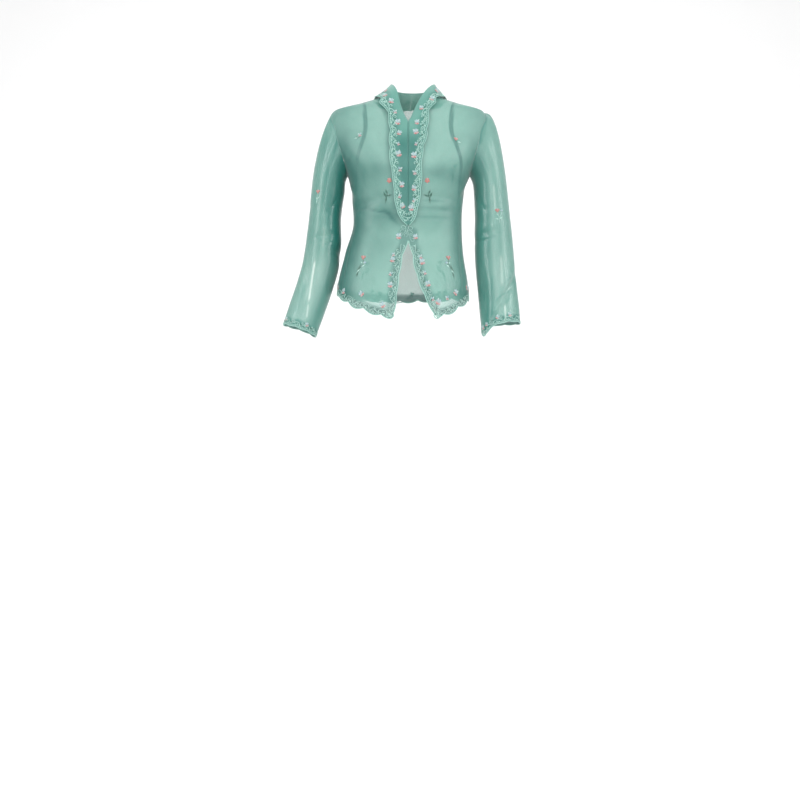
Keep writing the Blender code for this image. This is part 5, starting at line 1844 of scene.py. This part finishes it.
# %% Embroider the cuffs
# turn round the sleeve in degrees, distance in from the edge
CUFF_FLOWERS = {
    -1: ((118, 0.014), (35, 0.014), (215, 0.015), (290, 0.014)),
    1: ((69, 0.017), (102, 0.017), (176, 0.020), (128, 0.018), (240, 0.015), (318, 0.015)),
}
cuff_embroideries = {}
for side, word in ((-1, "right"), (1, "left")):
    needle = Needle()
    line = cuff_edges[side]
    sew_vine(needle, line, depth_share=0.85)
    at = [np.interp(math.radians(turn), line.a, line.along) for turn, _ in CUFF_FLOWERS[side]]
    places = np.stack(line.place(np.array(at), np.array([row[1] for row in CUFF_FLOWERS[side]])), axis=-1)
    turns, sizes = rng.uniform(-35, 35, len(at)), rng.uniform(0.72, 0.85, len(at))
    sew_flowers(needle, line.ground, places, BELL_FLOWER, turns, sizes)
    cuff_embroideries[side] = needle.sew("embroidery_cuff_" + word, THREADS)
    print(word, "cuff embroidery:", len(cuff_embroideries[side].data.polygons), "faces")

# %% [markdown]
# ## Sprigs
# Single sprigs are scattered over the fronts and the sleeves. The tall one has a coral bud, a blue one and
# narrow leaves on a curved stem, and is mirrored on the other side. The one below the bust is a round bloom
# with its leaves on a stem of their own. The sleeves' are paler, and the left one has a second bud. The
# back isn't in the photograph, so its four sprigs are a guess that repeats the tall one.

# %% Draw the sprigs
TALL_STEM = ((0, -3), (2.5, -12), (-2, -24), (-9, -43))
SIDE_STEM = ((6.5, -15), (3.5, -19), (-1.5, -23))
# pad, x, y, turn, width, length, thread
TALL_LEAVES = (
    (leaf, -3.5, -17, 197, 1.9, 3.1, LEAF), (leaf, -2.0, -26, 214, 1.5, 2.1, MINT),
    (leaf, -1.0, -24, 52, 1.6, 1.7, MINT), (leaf, -7.5, -36, 188, 1.5, 1.7, LEAF),
    (leaf, 1.0, -15, -40, 1.2, 1.0, MINT),
)
FORK_STEM = ((-5.5, -27), (-8.5, -37), (-10, -46), (-11.7, -54))
FORK_LEAVES = (
    (leaf, -10.0, -41, -22, 1.95, 2.3, LEAF), (leaf, -6.5, -31, -22, 1.7, 1.5, LEAF),
    (leaf, -9.5, -39, 23, 1.5, 1.2, LEAF), (leaf, -9.5, -37, -172, 1.8, 2.0, LEAF),
    (leaf, -8.5, -37, 77, 1.5, 1.9, LEAF),
)
SHORT_STEM = ((0, -2), (-2, -6), (-8, -8))
SHORT_LEAVES = ((leaf, -5, -7, -84, 1.2, 1.5, MINT), (leaf, -6, -6, -48, 0.9, 0.9, LEAF))
ARM_STEM = ((0, -3), (0.5, -12), (1.5, -22), (0.5, -32))
ARM_LEAVES = (
    (leaf, 0.8, -22, -34, 1.0, 1.4, MINT), (leaf, 1.2, -20, 32, 1.0, 1.4, MINT),
    (leaf, 0.6, -29, -26, 1.0, 1.1, MINT),
)
# The left sleeve's sprig has a second bud on its own stem, and two leaves spread under them.
FORKED_ARM_STEMS = (((0, -3), (1, -10), (3, -19), (3.5, -32)), ((11.5, -4), (9, -11), (3.5, -19)))
FORKED_ARM_LEAVES = (
    (leaf, 3.0, -23, -72, 1.4, 1.5, MINT), (leaf, 4.0, -22, 56, 1.4, 1.5, MINT),
    (leaf, 1.5, -13, -34, 1.0, 1.0, MINT),
)
# Where the second bud sits, in millimetres right and up of the first
SECOND_BUD, SECOND_ARM_BUD = (6.5, -14), (12, -1.5)
ARM_SPRIG_SIZE = 0.92
print("leaves on a tall sprig:", len(TALL_LEAVES), "under a bloom:", len(FORK_LEAVES))


# %% Sew the sprigs of the fronts and the back
def sew_sprig(needle, ground, place, bud, stems, leaves, size=1.0, mirror=False, second=None, pale=False):
    colour = MINT if pale else LEAF
    for stem in stems:
        sew_stem(needle, ground, place, stem, size=size, mirror=mirror, colour=colour)
    sew_flowers(needle, ground, [place], leaves, [0.0], [size], [mirror])
    sew_flowers(needle, ground, [place], bud, [0.0], [size], [mirror])
    if second:
        shifted = tuple((pad, x + second[0], y + second[1], *rest) for pad, x, y, *rest in BLUE_BUD)
        sew_flowers(needle, ground, [place], shifted, [0.0], [size], [mirror])


tall = (CORAL_BUD, [TALL_STEM, SIDE_STEM], TALL_LEAVES)
front_sprigs = {}
for side, word in ((-1, "right"), (1, "left")):
    needle = Needle()
    flip = side > 0
    if flip:
        chest = at_degrees(33.5, -0.130)
        sew_sprig(needle, body_ground, chest, CORAL_BUD, [SHORT_STEM], SHORT_LEAVES[:1], 0.85, True)
    else:
        chest = at_degrees(-33.75, -0.118)
        sew_sprig(needle, body_ground, chest, SMALL_FLOWER, [SHORT_STEM], SHORT_LEAVES)
    low_bust = at_degrees(side * 18.0, -0.233)
    sew_sprig(needle, body_ground, low_bust, ROUND_BLOOM, [FORK_STEM], FORK_LEAVES, 1.0, flip)
    hip = at_degrees(42.0 if flip else -37.5, -0.419)
    sew_sprig(needle, body_ground, hip, *tall, 1.0, flip, SECOND_BUD)
    front_sprigs[side] = needle.sew("embroidery_front_" + word, THREADS)

back_needle = Needle()
BACK_PLACES = ((140, -0.150, False), (-140, -0.148, True), (143, -0.405, False), (-143, -0.408, True))
for angle, height, mirror in BACK_PLACES:
    sew_sprig(back_needle, body_ground, at_degrees(angle, height), *tall, 1.0, mirror, SECOND_BUD)
back_sprigs = back_needle.sew("embroidery_back", THREADS)
print("back sprigs:", len(back_sprigs.data.polygons), "faces")

# %% Sew the sprigs of the sleeves
arm_sprigs = {}
for side, word, front_place, back_place in (
    (-1, "right", (61.4, 0.012), (250, 0.090)), (1, "left", (79.9, 0.059), (262, 0.030)),
):
    needle = Needle()
    ground = sleeve_grounds[side]
    plain, second = (CORAL_BUD, [ARM_STEM], ARM_LEAVES), None
    in_front = plain
    if side > 0:
        in_front, second = (CORAL_BUD, FORKED_ARM_STEMS, FORKED_ARM_LEAVES), SECOND_ARM_BUD
    sew_sprig(needle, ground, at_degrees(*front_place), *in_front, ARM_SPRIG_SIZE, False, second, True)
    sew_sprig(needle, ground, at_degrees(*back_place), *plain, ARM_SPRIG_SIZE, side < 0, None, True)
    arm_sprigs[side] = needle.sew("embroidery_arm_sprig_" + word, THREADS)
    print(word, "sleeve's sprigs:", len(arm_sprigs[side].data.polygons), "faces")

# %% [markdown]
# ## The flat size of every piece
# Each shell stands for a piece of cloth that was cut flat. A kebaya's pattern is simple: the sizes below
# are the rectangles that the nine pieces are cut from, and their areas without the curved parts cut away.
# Each finished shell's area is printed over its flat area, so cloth that was stretched by mistake would show.

CUTS = [(back_cloth, 0.47, 0.58, 0.224, [back_sprigs])]
for side in (-1, 1):
    on_front = [hem_satins[side], hem_embroideries[side], front_sprigs[side]]
    CUTS += [
        (front_centres[side], 0.19, 0.62, 0.078, on_front),
        (front_sides[side], 0.11, 0.50, 0.037, []),
        (sleeves[side], 0.36, 0.56, 0.146, [cuff_satins[side], cuff_embroideries[side], arm_sprigs[side]]),
        (bands[side], 0.08, 0.50, 0.0235, [band_satins[side], band_embroideries[side]]),
    ]
for piece, width, length, area, sewn_on in CUTS:
    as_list(sewn_on)
    print(piece.name, "cut", width, "x", length, "m, measured over flat:", round(cloth_area(piece) / area, 3))
